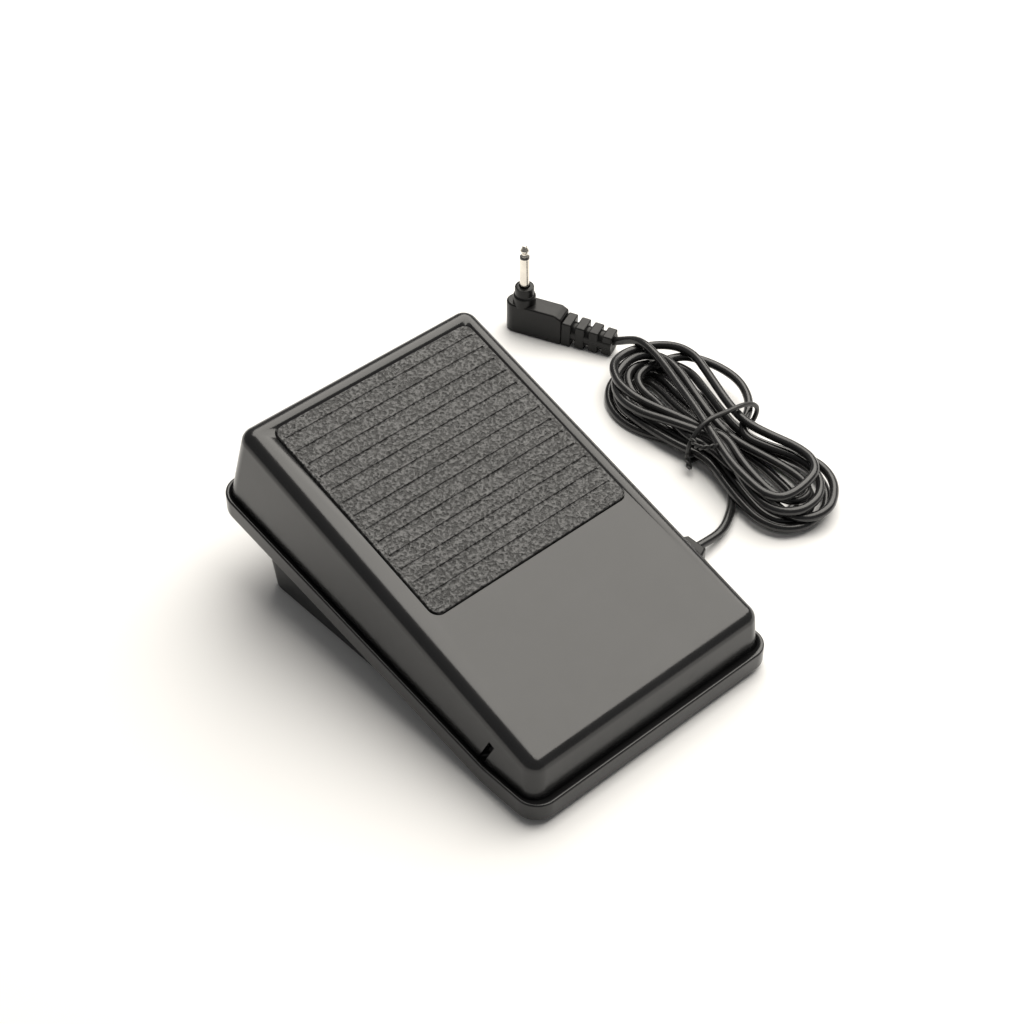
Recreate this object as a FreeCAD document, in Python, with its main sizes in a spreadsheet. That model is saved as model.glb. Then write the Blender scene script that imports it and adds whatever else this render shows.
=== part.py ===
import FreeCAD, Part
import math
import os

import Sketcher
from FreeCAD import Placement, Rotation, Vector

# Foot control of a sewing machine: a treadle hinged near its thin end on a wedge-shaped base, with
# the speed sensor inside and a thin cord, wound into a tied hank, that ends in a right-angle jack.
#
# Millimetres, +Z up, X across the pedal, the thin (toe) end at -Y and the thick (heel) end at +Y.
# The origin is on the floor, under the middle of the rim's box. The cord leaves on the +X side.

doc = FreeCAD.newDocument("foot_control")

# ---------------------------------------------------------------- driving dimensions
DIMENSIONS = [
    # rim and treadle
    ("overall_width", 100.0, "rim, side to side"),
    ("overall_length", 148.5, "rim, toe to heel"),
    ("rim_slope", 11.66, "degrees, rim behind the hinge"),
    ("tread_slope", 17.43, "degrees, top of the treadle"),
    ("rim_height", 6.6, "depth of the rim band"),
    ("rim_corner", 7.5, "plan radius of the rim"),
    ("rim_lip", 1.6, "thickness of the rim's lip at the sides"),
    ("toe_lip", 2.4, "thickness of the rim's lip at the toe"),
    ("seam_height", 8.6, "top of the rim ahead of the hinge"),
    ("bend_y", -50.9, "where the rim starts to climb"),
    ("skirt", 2.5, "how far the cover's wall sits down inside the lip"),
    ("cover_width", 95.8, "treadle cover at the seam"),
    ("cover_draft", 2.6, "degrees, lean of the side walls"),
    ("cover_wall", 2.5, "wall of the cover"),
    ("cover_corner", 5.0, "radius of the cover's upright corners"),
    ("cover_edge", 4.4, "radius round the top of the cover"),
    ("toe_top_y", -70.2, "toe edge of the tread plane"),
    ("toe_top_z", 21.4, "height of the tread plane at the toe edge"),
    ("toe_foot_y", -71.4, "foot of the cover's toe wall"),
    ("heel_top_y", 63.7, "heel edge of the tread plane"),
    ("heel_foot_y", 72.5, "foot of the cover's heel wall"),
    # tread panel, measured along the tread
    ("panel_width", 78.3, "tread panel across"),
    ("panel_length", 78.7, "tread panel along the slope"),
    ("panel_start", 55.0, "toe edge of the tread to the panel, along the slope"),
    ("panel_offset", 1.3, "panel centre to the right of the middle"),
    ("panel_corner", 3.0, "corner radius"),
    ("panel_recess", 1.2, "depth of its recess"),
    ("panel_proud", 0.5, "how far it stands out of the recess"),
    ("panel_gap", 0.55, "gap all round"),
    ("rib_count", 13, "grooves across the panel"),
    ("rib_first", 7.0, "panel's toe edge to the first groove"),
    ("rib_pitch", 5.59, "groove to groove"),
    ("rib_width", 0.6, "width of a groove"),
    ("rib_depth", 0.45, "depth of a groove"),
    ("rib_margin", 1.5, "panel edge to the end of a groove"),
    # hinge
    ("hinge_y", -50.5, "hinge axis"),
    ("hinge_z", 12.5, "hinge axis"),
    ("pin_radius", 1.5, "steel hinge pin"),
    ("pin_clearance", 0.05, "running fit round the pin"),
    ("boss_radius", 5.5, "hinge bosses"),
    ("boss_reach", 44.1, "inner face of the cover's hinge bosses from the middle"),
    ("slot_width", 2.4, "assembly slot in the cover's side over the pin"),
    ("slot_length", 11.1, "length of that slot"),
    ("slot_lift", 0.8, "centre of that slot above the hinge axis"),
    ("slot_skin", 0.6, "boss left whole round the pin, inside the slot"),
    ("slot_lean", 24.0, "degrees, lean of that slot towards the toe"),
    # base
    ("base_width", 87.2, "wedge-shaped base"),
    ("base_bottom", 1.0, "underside of the base above the floor"),
    ("base_toe_y", -66.0, "toe end of the base"),
    ("base_heel_y", 59.0, "heel end of the base at its underside"),
    ("base_lean", 12.0, "degrees, heel wall leans out"),
    ("base_drop", 2.0, "top of the base below the rim's top"),
    ("base_wall", 2.2, "wall and floor of the base"),
    ("base_corner", 6.0, "plan radius of the base"),
    ("foot_radius", 5.0, "rubber feet"),
    ("foot_depth", 1.2, "depth of a foot's recess"),
    ("foot_x", 35.0, "feet either side of the middle"),
    ("foot_toe_y", -56.0, "front feet"),
    ("foot_heel_y", 50.0, "rear feet"),
    # return springs
    ("spring_x", 26.0, "springs either side of the middle"),
    ("spring_y", 20.0, "springs"),
    ("spring_bottom", 6.0, "seat of the spring in the base"),
    ("spring_top", 26.0, "seat of the spring under the cover"),
    ("spring_radius", 4.6, "mean radius of the coils"),
    ("spring_wire", 0.45, "radius of the wire"),
    ("spring_turns", 6, "coils"),
    # stop pads
    ("stop_x", 26.0, "stops either side of the middle"),
    ("stop_y", 46.0, "stops"),
    ("stop_height", 4.0, "rubber stop pads"),
    ("travel", 6.0, "degrees, full press"),
    ("free_gap", 0.3, "least gap between parts that pass each other"),
    # sensor
    ("sensor_y", -8.0, "sensor shaft"),
    ("sensor_z", 17.0, "sensor shaft"),
    ("sensor_radius", 8.0, "body of the potentiometer"),
    ("shaft_radius", 3.0, "sensor shaft"),
    ("arm_length", 12.0, "shaft to the arm's peg"),
    ("arm_rest", 13.64, "degrees above level at rest"),
    ("peg_radius", 1.5, "peg on the arm"),
    ("board_z", 7.0, "underside of the circuit board"),
    ("board_thick", 1.6, "circuit board"),
    # cord
    ("cord_diameter", 3.1, "round two-core cord"),
    ("exit_x", 65.6, "end of the strain relief"),
    ("exit_y", -26.0, "cord exit"),
    ("exit_z", 4.8, "cord exit"),
    ("relief_width", 11.0, "strain relief"),
    ("relief_height", 6.2, "strain relief"),
    ("relief_low", 1.4, "underside of the strain relief"),
    ("hank_height", 14.5, "tied hank"),
    ("tie_y", 6.6, "tie round the hank"),
    ("tie_x", 110.3, "tie round the hank"),
    # jack plug
    ("jack_x", 105.5, "axis of the jack"),
    ("jack_y", 100.5, "axis of the jack"),
    ("plug_turn", -66.4, "degrees, plug body's direction from +X"),
    ("plug_height", 12.4, "plug body at the jack"),
    ("plug_low_end", 11.0, "plug body at the ribbed sleeve"),
    ("plug_width", 8.0, "plug body"),
    ("plug_length", 16.0, "jack axis to the ribbed sleeve"),
    ("plug_back", 2.7, "jack axis to the centre of the round end"),
    ("sleeve_length", 19.5, "ribbed sleeve"),
    ("sleeve_start", 10.4, "height of the ribbed sleeve at the plug"),
    ("sleeve_end", 8.2, "height of the ribbed sleeve at the cord"),
    ("collar_radius", 4.2, "collar under the jack, lower step"),
    ("collar_top_radius", 3.6, "collar under the jack, upper step"),
    ("collar_height", 7.0, "collar under the jack"),
    ("jack_radius", 1.75, "3.5 mm jack"),
    ("jack_length", 17.5, "jack, collar to tip"),
]

sheet = doc.addObject("Spreadsheet::Sheet", "dims")
for row, (alias, value, meaning) in enumerate(DIMENSIONS, start=1):
    sheet.set(f"A{row}", alias)
    sheet.set(f"B{row}", str(value))
    sheet.set(f"C{row}", meaning)
    sheet.setAlias(f"B{row}", alias)
doc.recompute()


def worth(rule):
    """The number that a rule on the sheet's cells comes to."""
    return float(sheet.evalExpression(str(rule)))


def dim(alias):
    """The number in one named cell."""
    return worth("dims." + alias)


# ---------------------------------------------------------------- rules shared by several parts
RIM_TOP_CLIMB = "(dims.seam_height + ({y} - dims.bend_y) * tan(dims.rim_slope))"
TREAD_TOP = "(dims.toe_top_z + ({y} - dims.toe_top_y) * tan(dims.tread_slope))"
RIM_TOE = "(-dims.overall_length / 2)"
RIM_HEEL = "(dims.overall_length / 2)"
FLOOR_IN_BASE = "(dims.base_bottom + dims.base_wall)"
PRESS_DROP = "(({y} - dims.hinge_y) * sin(dims.travel))"


# Where the sensor arm's peg rests, and the underside of the cover above it.
PEG_Y = "(dims.sensor_y + dims.arm_length * cos(dims.arm_rest))"
PEG_Z = "(dims.sensor_z + dims.arm_length * sin(dims.arm_rest))"
FORK_CEILING = f"({TREAD_TOP.format(y=PEG_Y)} - dims.cover_wall)"
FORK_SCREW_X = "13.2"


def seam_z(y):
    """Height of the rim's top at a place behind the hinge, as a rule."""
    return RIM_TOP_CLIMB.format(y=y)


def tread_z(y):
    """Height of the tread plane, as a rule."""
    return TREAD_TOP.format(y=y)


def press_drop(y):
    """How far the treadle sinks there at full press, as a rule."""
    return PRESS_DROP.format(y=y)


# ---------------------------------------------------------------- helpers
UPRIGHT = Rotation()
ALONG_X = Rotation(Vector(0, 1, 0), 90)
ALONG_Y = Rotation(Vector(1, 0, 0), -90)


def primitive(kind, name, at, turn=UPRIGHT, **sizes):
    """Add a Part primitive with its dimensions and its position bound to the sheet."""
    part = doc.addObject("Part::" + kind, name)
    for name_of_size, rule in sizes.items():
        part.setExpression(name_of_size, str(rule))
    part.Placement = Placement(Vector(), turn)
    for letter, rule in zip("xyz", at):
        part.setExpression("Placement.Base." + letter, str(rule))
    return part


def box(name, low, high):
    """A box between two corners, each a triple of rules."""
    spans = [f"({b}) - ({a})" for a, b in zip(low, high)]
    return primitive("Box", name, low, Length=spans[0], Width=spans[1], Height=spans[2])


def fuse(name, *parts):
    """Join parts into one solid."""
    joined = doc.addObject("Part::MultiFuse", name)
    joined.Shapes = list(parts)
    joined.Refine = True
    return joined


def cut(name, base, *tools):
    """Take tools away from a base."""
    result = doc.addObject("Part::Cut", name)
    result.Base = base
    result.Tool = tools[0] if len(tools) == 1 else fuse(name + "_tools", *tools)
    result.Refine = True
    return result


def group(name, *parts):
    """Several separate solids that share one node."""
    together = doc.addObject("Part::Compound", name)
    together.Links = list(parts)
    return together


def plane_of(body, role):
    """One of a body's own origin planes."""
    return next(item for item in body.Origin.OriginFeatures if item.Role == role)


def sketch_on(body, name, role):
    sketch = body.newObject("Sketcher::SketchObject", name)
    sketch.AttachmentSupport = [(plane_of(body, role), "")]
    sketch.MapMode = "FlatFace"
    return sketch


def pin_point(sketch, geometry, which, rules):
    """Tie a sketch point to two rules, measured from the sketch's origin."""
    for kind, rule in zip(("DistanceX", "DistanceY"), rules):
        spot = sketch.addConstraint(
            Sketcher.Constraint(kind, -1, 1, geometry, which, worth(rule)))
        sketch.setExpression(f"Constraints[{spot}]", str(rule))


def polygon(sketch, corners):
    """A closed outline of straight lines through corners given as pairs of rules."""
    points = [Vector(worth(a), worth(b), 0) for a, b in corners]
    count = len(points)
    for i in range(count):
        sketch.addGeometry(Part.LineSegment(points[i], points[(i + 1) % count]))
    for i in range(count):
        sketch.addConstraint(Sketcher.Constraint("Coincident", i, 2, (i + 1) % count, 1))
        pin_point(sketch, i, 1, corners[i])


def pad(body, sketch, length, symmetric=False):
    """Pad a sketch, to one side or to both."""
    feature = body.newObject("PartDesign::Pad", sketch.Name + "_pad")
    feature.Profile = sketch
    feature.setExpression("Length", str(length))
    if symmetric:
        feature.SideType = "Symmetric"
    return feature


def new_body(name):
    return doc.addObject("PartDesign::Body", name)


def edge_names(shape, wanted):
    """Names of the edges that pass a test."""
    return [f"Edge{i}" for i, edge in enumerate(shape.Edges, start=1) if wanted(edge)]


def face_names(shape, wanted):
    """Names of the faces that pass a test."""
    return [f"Face{i}" for i, face in enumerate(shape.Faces, start=1) if wanted(face)]


def run_of(edge):
    """Direction of an edge, end to end."""
    if len(edge.Vertexes) < 2:
        return Vector()
    run = edge.Vertexes[1].Point - edge.Vertexes[0].Point
    return run.normalize() if run.Length > 1e-6 else Vector()


def is_upright(edge):
    """True for an edge that stands up, or leans a little."""
    run = run_of(edge)
    return abs(run.x) < 0.2 and abs(run.z) > 0.7


def facing(face):
    """Outward normal at the middle of a face."""
    low_u, high_u, low_v, high_v = face.ParameterRange
    return face.normalAt((low_u + high_u) / 2, (low_v + high_v) / 2)


def round_edges(name, base, radius, wanted):
    """Fillet the edges of a finished part that pass a test."""
    doc.recompute()
    fillet = doc.addObject("Part::Fillet", name)
    fillet.Base = base
    size = dim(radius) if isinstance(radius, str) else radius
    numbers = [i for i, edge in enumerate(base.Shape.Edges, start=1) if wanted(edge)]
    fillet.Edges = [(number, size, size) for number in numbers]
    return fillet


def climbing_block(name, width, toe, heel, low, high, corner):
    """A block that follows the rim's top line, level ahead of the bend and climbing behind it.

    low and high are its underside and top, measured from the rim's top.
    """
    body = new_body(name)
    side = sketch_on(body, name + "_side", "YZ_Plane")
    polygon(side, [
        (toe, f"dims.seam_height + ({low})"),
        ("dims.bend_y", f"dims.seam_height + ({low})"),
        (heel, f"{seam_z(heel)} + ({low})"),
        (heel, f"{seam_z(heel)} + ({high})"),
        ("dims.bend_y", f"dims.seam_height + ({high})"),
        (toe, f"dims.seam_height + ({high})"),
    ])
    slab = pad(body, side, width, symmetric=True)
    doc.recompute()
    corners = body.newObject("PartDesign::Fillet", name + "_corners")
    corners.Base = (slab, edge_names(slab.Shape, is_upright))
    corners.setExpression("Radius", str(corner))
    return body


def both_sides(make, name, x):
    """Build the same piece at +x and at -x."""
    return [make(f"{name}_right", x), make(f"{name}_left", f"-({x})")]


# ---------------------------------------------------------------- treadle
def cover_block():
    """The outside of the treadle cover, solid."""
    body = new_body("cover_profile")
    side = sketch_on(body, "cover_side", "YZ_Plane")
    polygon(side, [
        ("dims.toe_foot_y", "dims.seam_height - dims.skirt"),
        ("dims.bend_y", "dims.seam_height - dims.skirt"),
        ("dims.heel_foot_y", seam_z("dims.heel_foot_y") + " - dims.skirt"),
        ("dims.heel_top_y", tread_z("dims.heel_top_y")),
        ("dims.toe_top_y", "dims.toe_top_z"),
    ])
    pad(body, side, "dims.overall_width", symmetric=True)

    # Two big boxes trim the sides to the leaning walls, which meet the rim at the cover's width.
    reach = 200.0
    trims = []
    for label, sign in (("right", 1), ("left", -1)):
        climb = Rotation(Vector(1, 0, 0), dim("rim_slope"))
        lean = Rotation(Vector(0, 1, 0), -sign * dim("cover_draft"))
        turn = climb * lean
        inward = 0 if sign > 0 else -reach
        corner = turn.multVec(Vector(inward, -reach, -reach))
        at = [f"{sign} * dims.cover_width / 2 + {corner.x}",
              f"dims.bend_y + {corner.y}",
              f"dims.seam_height + {corner.z}"]
        trims.append(primitive("Box", "trim_" + label, at, turn,
                               Length=reach, Width=2 * reach, Height=2 * reach))
    trimmed = cut("cover_trimmed", body, *trims)
    upright = round_edges("cover_upright_corners", trimmed, "cover_corner", is_upright)
    doc.recompute()
    tread = next(face for face in upright.Shape.Faces if facing(face).z > 0.9)
    return round_edges("cover_rounded", upright, "cover_edge",
                       lambda edge: any(edge.isSame(side) for side in tread.Edges))


def panel_shape(name, grow, low, high):
    """A slab with the panel's outline, laid on the tread slope.

    It is grown by grow all round; low and high are measured from the tread plane.
    """
    body = new_body(name)
    sketch = sketch_on(body, name + "_outline", "XY_Plane")
    half = f"(dims.panel_width / 2 + {grow})"
    near = f"(-({grow}))"
    far = f"(dims.panel_length + {grow})"
    polygon(sketch, [(f"-{half}", near), (half, near), (half, far), (f"-{half}", far)])
    slab = pad(body, sketch, f"({high}) - ({low})")
    doc.recompute()
    corners = body.newObject("PartDesign::Fillet", name + "_corners")
    corners.Base = (slab, edge_names(slab.Shape, lambda edge: abs(run_of(edge).z) > 0.9))
    corners.setExpression("Radius", f"dims.panel_corner + {grow}")
    lay_on_tread(body, low)
    return body


def lay_on_tread(body, low):
    """Turn a flat body onto the tread, its near edge at the panel's toe edge."""
    body.Placement = Placement(Vector(), Rotation(Vector(1, 0, 0), dim("tread_slope")))
    along = "dims.panel_start"
    body.setExpression("Placement.Base.x", "dims.panel_offset")
    body.setExpression("Placement.Base.y", f"dims.toe_top_y + {along} * cos(dims.tread_slope)"
                                           f" - ({low}) * sin(dims.tread_slope)")
    body.setExpression("Placement.Base.z", f"dims.toe_top_z + {along} * sin(dims.tread_slope)"
                                           f" + ({low}) * cos(dims.tread_slope)")


def hinge_slot(name, sign):
    """The leaning slot through the cover's side wall and into the boss, over the pin's end."""
    reach = 10.0
    turn = Rotation(Vector(1, 0, 0), dim("slot_lean"))
    corner = turn.multVec(Vector(0, -dim("slot_width") / 2, -dim("slot_length") / 2))
    floor = "(dims.boss_reach + dims.slot_skin)"
    near = floor if sign > 0 else f"-{floor} - {reach}"
    at = [near, f"dims.hinge_y + {corner.y}",
          f"dims.hinge_z + dims.slot_lift + {corner.z}"]
    return primitive("Box", name, at, turn,
                     Length=reach, Width="dims.slot_width", Height="dims.slot_length")


def treadle_cover():
    """The moulded shell that the foot presses, with its hinge bosses, spring posts and stops."""
    block = cover_block()
    doc.recompute()
    shell = doc.addObject("Part::Thickness", "cover_shell")
    shell.Faces = (block, face_names(block.Shape, lambda face: facing(face).z < -0.9))
    shell.Value = -dim("cover_wall")
    shell.Join = "Intersection"

    def hinge_boss(name, x):
        outer = "(dims.cover_width / 2 - dims.cover_wall + 0.6)"
        near = "dims.boss_reach" if not x.startswith("-") else f"-{outer}"
        return primitive("Cylinder", name, [near, "dims.hinge_y", "dims.hinge_z"], ALONG_X,
                         Radius="dims.boss_radius", Height=f"{outer} - dims.boss_reach")

    def spring_post(name, x):
        top = f"{tread_z('dims.spring_y')} - dims.cover_wall"
        post = primitive("Cylinder", name, [x, "dims.spring_y", "dims.spring_top"],
                         Radius="dims.spring_radius + 1.4", Height=f"{top} - dims.spring_top")
        spigot = primitive("Cylinder", name + "_spigot", [x, "dims.spring_y",
                                                          "dims.spring_top - 6"],
                           Radius="dims.spring_radius - 1.2", Height=8)
        return fuse(name + "_whole", post, spigot)

    def stop_post(name, x):
        low = (f"({FLOOR_IN_BASE} + dims.stop_height + {press_drop('dims.stop_y')}"
               " + 2 * dims.free_gap)")
        return primitive("Cylinder", name, [x, "dims.stop_y", low], Radius=3.5,
                         Height=f"{tread_z('dims.stop_y')} - dims.cover_wall - {low}")

    fork_boss = primitive("Cylinder", "fork_boss", [FORK_SCREW_X, PEG_Y, f"{FORK_CEILING} - 4"],
                          Radius=3.2, Height=5)
    solid = fuse("cover_solid", shell, fork_boss,
                 *both_sides(hinge_boss, "hinge_boss", "dims.boss_reach"),
                 *both_sides(spring_post, "spring_post", "dims.spring_x"),
                 *both_sides(stop_post, "stop_post", "dims.stop_x"))
    pin_hole = primitive("Cylinder", "cover_pin_hole",
                         ["-(dims.cover_width / 2 - dims.cover_wall + 0.7)",
                          "dims.hinge_y", "dims.hinge_z"], ALONG_X,
                         Radius="dims.pin_radius + dims.pin_clearance",
                         Height="2 * (dims.cover_width / 2 - dims.cover_wall + 0.7)")
    recess = panel_shape("panel_recess_cut", "dims.panel_gap", "-dims.panel_recess", "4")
    pilot = primitive("Cylinder", "fork_pilot", [FORK_SCREW_X, PEG_Y, f"{FORK_CEILING} - 5"],
                      Radius=1.1, Height=5)
    return cut("treadle_cover", solid, pin_hole, recess, pilot,
               hinge_slot("slot_right", 1), hinge_slot("slot_left", -1))


def rim_frame():
    """The frame round the foot of the cover: a lip outside the cover's wall and a ledge under it."""
    under = "-dims.rim_height"
    outer = climbing_block("rim_block", "dims.overall_width", RIM_TOE, RIM_HEEL, under, "0",
                           "dims.rim_corner")
    seat = climbing_block("rim_seat", "dims.overall_width - 2 * dims.rim_lip",
                          f"{RIM_TOE} + dims.toe_lip", f"{RIM_HEEL} - dims.rim_lip",
                          "-dims.skirt", "5", "dims.rim_corner - dims.rim_lip")
    ledge = "(dims.overall_width / 2 - dims.cover_width / 2 + dims.cover_wall - 0.2)"
    opening = climbing_block("rim_opening", f"dims.overall_width - 2 * {ledge}",
                             f"{RIM_TOE} + {ledge} + 1", f"{RIM_HEEL} - {ledge}",
                             f"{under} - 2", "5", "3.2")
    # The arch over the strain relief, high enough to clear it at full press.
    arch_top = ("(dims.relief_low + dims.relief_height + dims.free_gap + "
                + press_drop("(dims.exit_y + dims.relief_width / 2)") + ")")
    arch = box("rim_arch",
               ["dims.base_width / 2", "dims.exit_y - dims.relief_width / 2 - 0.8", "-5"],
               ["dims.overall_width", "dims.exit_y + dims.relief_width / 2 + 2.2", arch_top])
    frame = cut("rim_band", outer, seat, opening)
    doc.recompute()

    def outer_rim(edge):
        """Edges along the outside of the band, top and bottom."""
        span = edge.BoundBox
        outside = max(abs(span.XMin), abs(span.XMax)) > dim("overall_width") / 2 - 1e-3
        outside = outside or max(abs(span.YMin), abs(span.YMax)) > dim("overall_length") / 2 - 1e-3
        return outside and not is_upright(edge) and span.DiagonalLength > 12

    return cut("rim_frame", round_edges("rim_rounded", frame, 0.7, outer_rim), arch)


def tread_panel():
    """The textured panel let into the tread, with its fine grooves across."""
    panel = panel_shape("tread_panel", "0", "-dims.panel_recess", "dims.panel_proud")
    top = "dims.panel_recess + dims.panel_proud"
    first = sketch_on(panel, "first_groove", "XY_Plane")
    half = "(dims.panel_width / 2 - dims.rib_margin)"
    low = "(dims.rib_first - dims.rib_width / 2)"
    high = "(dims.rib_first + dims.rib_width / 2)"
    polygon(first, [(f"-{half}", low), (half, low), (half, high), (f"-{half}", high)])
    first.setExpression("AttachmentOffset.Base.z", f"{top} - dims.rib_depth")
    groove = panel.newObject("PartDesign::Pocket", "groove")
    groove.Profile = first
    groove.setExpression("Length", "dims.rib_depth + 1")
    groove.Reversed = True
    rows = panel.newObject("PartDesign::LinearPattern", "groove_rows")
    rows.Originals = [groove]
    rows.Direction = (first, ["V_Axis"])
    rows.setExpression("Length", "dims.rib_pitch * (dims.rib_count - 1)")
    rows.Occurrences = int(dim("rib_count"))
    panel.Tip = rows
    return panel


def drive_fork():
    """The bracket under the cover whose slot carries the sensor arm's peg."""
    plate = box("fork_plate", ["17", f"{PEG_Y} - 5.5", f"{PEG_Z} - 5"],
                ["20", f"{PEG_Y} + 5.5", f"{FORK_CEILING} - 4"])
    flange = box("fork_flange", ["9.8", f"{PEG_Y} - 5.5", f"{FORK_CEILING} - 5.6"],
                 ["20", f"{PEG_Y} + 5.5", f"{FORK_CEILING} - 4"])
    slot = box("fork_slot", ["16", f"{PEG_Y} - 2.9", f"{PEG_Z} - dims.peg_radius - 0.35"],
               ["21", f"{PEG_Y} + 2.9", f"{PEG_Z} + dims.peg_radius + 0.35"])
    hole = primitive("Cylinder", "fork_hole", [FORK_SCREW_X, PEG_Y, f"{FORK_CEILING} - 8"],
                     Radius=1.3, Height=8)
    return cut("drive_fork", fuse("fork_blank", plate, flange), slot, hole)


def fork_screw():
    """The screw that holds the fork up against its boss in the cover."""
    head = primitive("Cylinder", "fork_screw_head", [FORK_SCREW_X, PEG_Y,
                                                     f"{FORK_CEILING} - 7.2"],
                     Radius=2.2, Height=1.6)
    shank = primitive("Cylinder", "fork_screw_shank", [FORK_SCREW_X, PEG_Y,
                                                       f"{FORK_CEILING} - 6"],
                      Radius=1.1, Height=5)
    return fuse("fork_screw", head, shank)


# ---------------------------------------------------------------- base
def base_wedge(name, inset, top_rise):
    """The wedge of the base, shrunk by inset on its sides and floor, its top moved by top_rise."""
    low = f"(dims.base_bottom + {inset})"
    toe = f"(dims.base_toe_y + {inset})"
    heel = f"(dims.base_heel_y - {inset})"
    top_z = f"({seam_z('dims.base_heel_y')} - dims.base_drop + {top_rise})"
    heel_top = f"({heel} + ({top_z} - dims.base_bottom) * tan(dims.base_lean))"
    heel_low = f"({heel} + ({inset}) * tan(dims.base_lean))"
    ahead = f"dims.seam_height - dims.base_drop + {top_rise}"
    body = new_body(name)
    side = sketch_on(body, name + "_side", "YZ_Plane")
    polygon(side, [
        (toe, low), (heel_low, low), (heel_top, top_z), ("dims.bend_y", ahead), (toe, ahead),
    ])
    slab = pad(body, side, f"dims.base_width - 2 * ({inset})", symmetric=True)
    doc.recompute()
    corners = body.newObject("PartDesign::Fillet", name + "_corners")
    corners.Base = (slab, edge_names(slab.Shape, is_upright))
    corners.setExpression("Radius", f"dims.base_corner - ({inset})")
    return body


def base_shell():
    """The wedge-shaped tray that stands on the floor and carries everything inside."""
    outer = base_wedge("base_outer", "0", "0")
    inner = base_wedge("base_inner", "dims.base_wall", "20")
    return cut("base_shell", outer, inner)


def post(name, x, y, top, radius):
    """A round post standing on the base's floor."""
    return primitive("Cylinder", name, [x, y, "dims.base_bottom + 1"], Radius=radius,
                     Height=f"{top} - dims.base_bottom - 1")


BOARD_SCREWS = [(-18, -30), (9, -30), (-18, 2), (9, 2)]
BRACKET_SCREWS = [(-13, 12), (3, 12)]
CLAMP_SCREWS = [(31, -34.5), (31, -17.5)]
BRACKET_FLOOR = 5.0
CLAMP_TOP = 8.4


def base_tray():
    """The base with its hinge ears, spring cups, screw posts and recesses for the feet."""
    def ear(name, x):
        inner = "(dims.base_width / 2 - 4.2)"
        near = inner if not x.startswith("-") else "-(dims.base_width / 2 - 0.2)"
        round_top = primitive("Cylinder", name + "_top", [near, "dims.hinge_y", "dims.hinge_z"],
                              ALONG_X, Radius="dims.boss_radius - 1.2", Height=4)
        web = box(name + "_web", [near, "dims.hinge_y - dims.boss_radius + 1.2",
                                  "dims.base_bottom + 1"],
                  [f"{near} + 4", "dims.hinge_y + dims.boss_radius - 1.2", "dims.hinge_z"])
        return fuse(name, round_top, web)

    def cup(name, x):
        wall = primitive("Cylinder", name + "_wall", [x, "dims.spring_y", "dims.base_bottom + 1"],
                         Radius="dims.spring_radius + 2.6", Height="dims.spring_bottom + 1")
        bore = primitive("Cylinder", name + "_bore", [x, "dims.spring_y", "dims.spring_bottom"],
                         Radius="dims.spring_radius + 1.1", Height=10)
        spigot = primitive("Cylinder", name + "_spigot", [x, "dims.spring_y",
                                                          "dims.base_bottom + 1"],
                           Radius="dims.spring_radius - 1.2", Height="dims.spring_bottom + 2")
        return fuse(name, cut(name + "_cut", wall, bore), spigot)

    posts = [post(f"board_post_{i}", x, y, "dims.board_z", 2.6)
             for i, (x, y) in enumerate(BOARD_SCREWS)]
    posts += [post(f"bracket_post_{i}", x, y, str(BRACKET_FLOOR), 3.4)
              for i, (x, y) in enumerate(BRACKET_SCREWS)]
    cradle = box("clamp_block", ["27.5", "dims.exit_y - 12", "dims.base_bottom + 1"],
                 ["34.5", "dims.exit_y + 12", "dims.exit_z"])
    solid = fuse("base_solid", base_shell(),
                 *both_sides(ear, "hinge_ear", "1"), *both_sides(cup, "spring_cup", "dims.spring_x"),
                 cradle, *posts)
    pin_hole = primitive("Cylinder", "base_pin_hole", ["-dims.base_width / 2 - 1", "dims.hinge_y",
                                                       "dims.hinge_z"], ALONG_X,
                         Radius="dims.pin_radius + dims.pin_clearance",
                         Height="dims.base_width + 2")
    # The strain relief's neck passes through a notch in the side wall, open at the top.
    notch = box("relief_notch",
                ["dims.base_width / 2 - 4", "dims.exit_y - dims.relief_width / 2 + 1.4",
                 "dims.relief_low + 0.8"],
                ["dims.base_width / 2 + 4", "dims.exit_y + dims.relief_width / 2 - 1.4", "30"])
    groove = primitive("Cylinder", "clamp_groove", ["27", "dims.exit_y", "dims.exit_z"], ALONG_X,
                       Radius="dims.cord_diameter / 2", Height=8)
    tapped = [primitive("Cylinder", f"tapped_{i}", [x, y, "dims.base_bottom + 1.2"], Radius=1.0,
                        Height=12)
              for i, (x, y) in enumerate(BOARD_SCREWS + BRACKET_SCREWS + CLAMP_SCREWS)]
    pockets = [primitive("Cylinder", f"foot_pocket_{i}", [x, y, "0"], Radius="dims.foot_radius",
                         Height="dims.base_bottom + dims.foot_depth")
               for i, (x, y) in enumerate(FOOT_PLACES)]
    return cut("base_tray", solid, pin_hole, notch, groove, *tapped, *pockets)


FOOT_PLACES = [(side + "dims.foot_x", y) for side in ("", "-")
               for y in ("dims.foot_toe_y", "dims.foot_heel_y")]


def rubber_feet():
    """Four soft discs let into the underside, standing a millimetre proud."""
    feet = []
    for i, (x, y) in enumerate(FOOT_PLACES):
        disc = primitive("Cylinder", f"foot_disc_{i}", [x, y, "0"], Radius="dims.foot_radius",
                         Height="dims.base_bottom + dims.foot_depth")
        feet.append(round_edges(f"foot_{i}", disc, 0.6,
                                lambda edge: edge.BoundBox.ZMax < 0.01))
    return group("rubber_feet", *feet)


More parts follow.
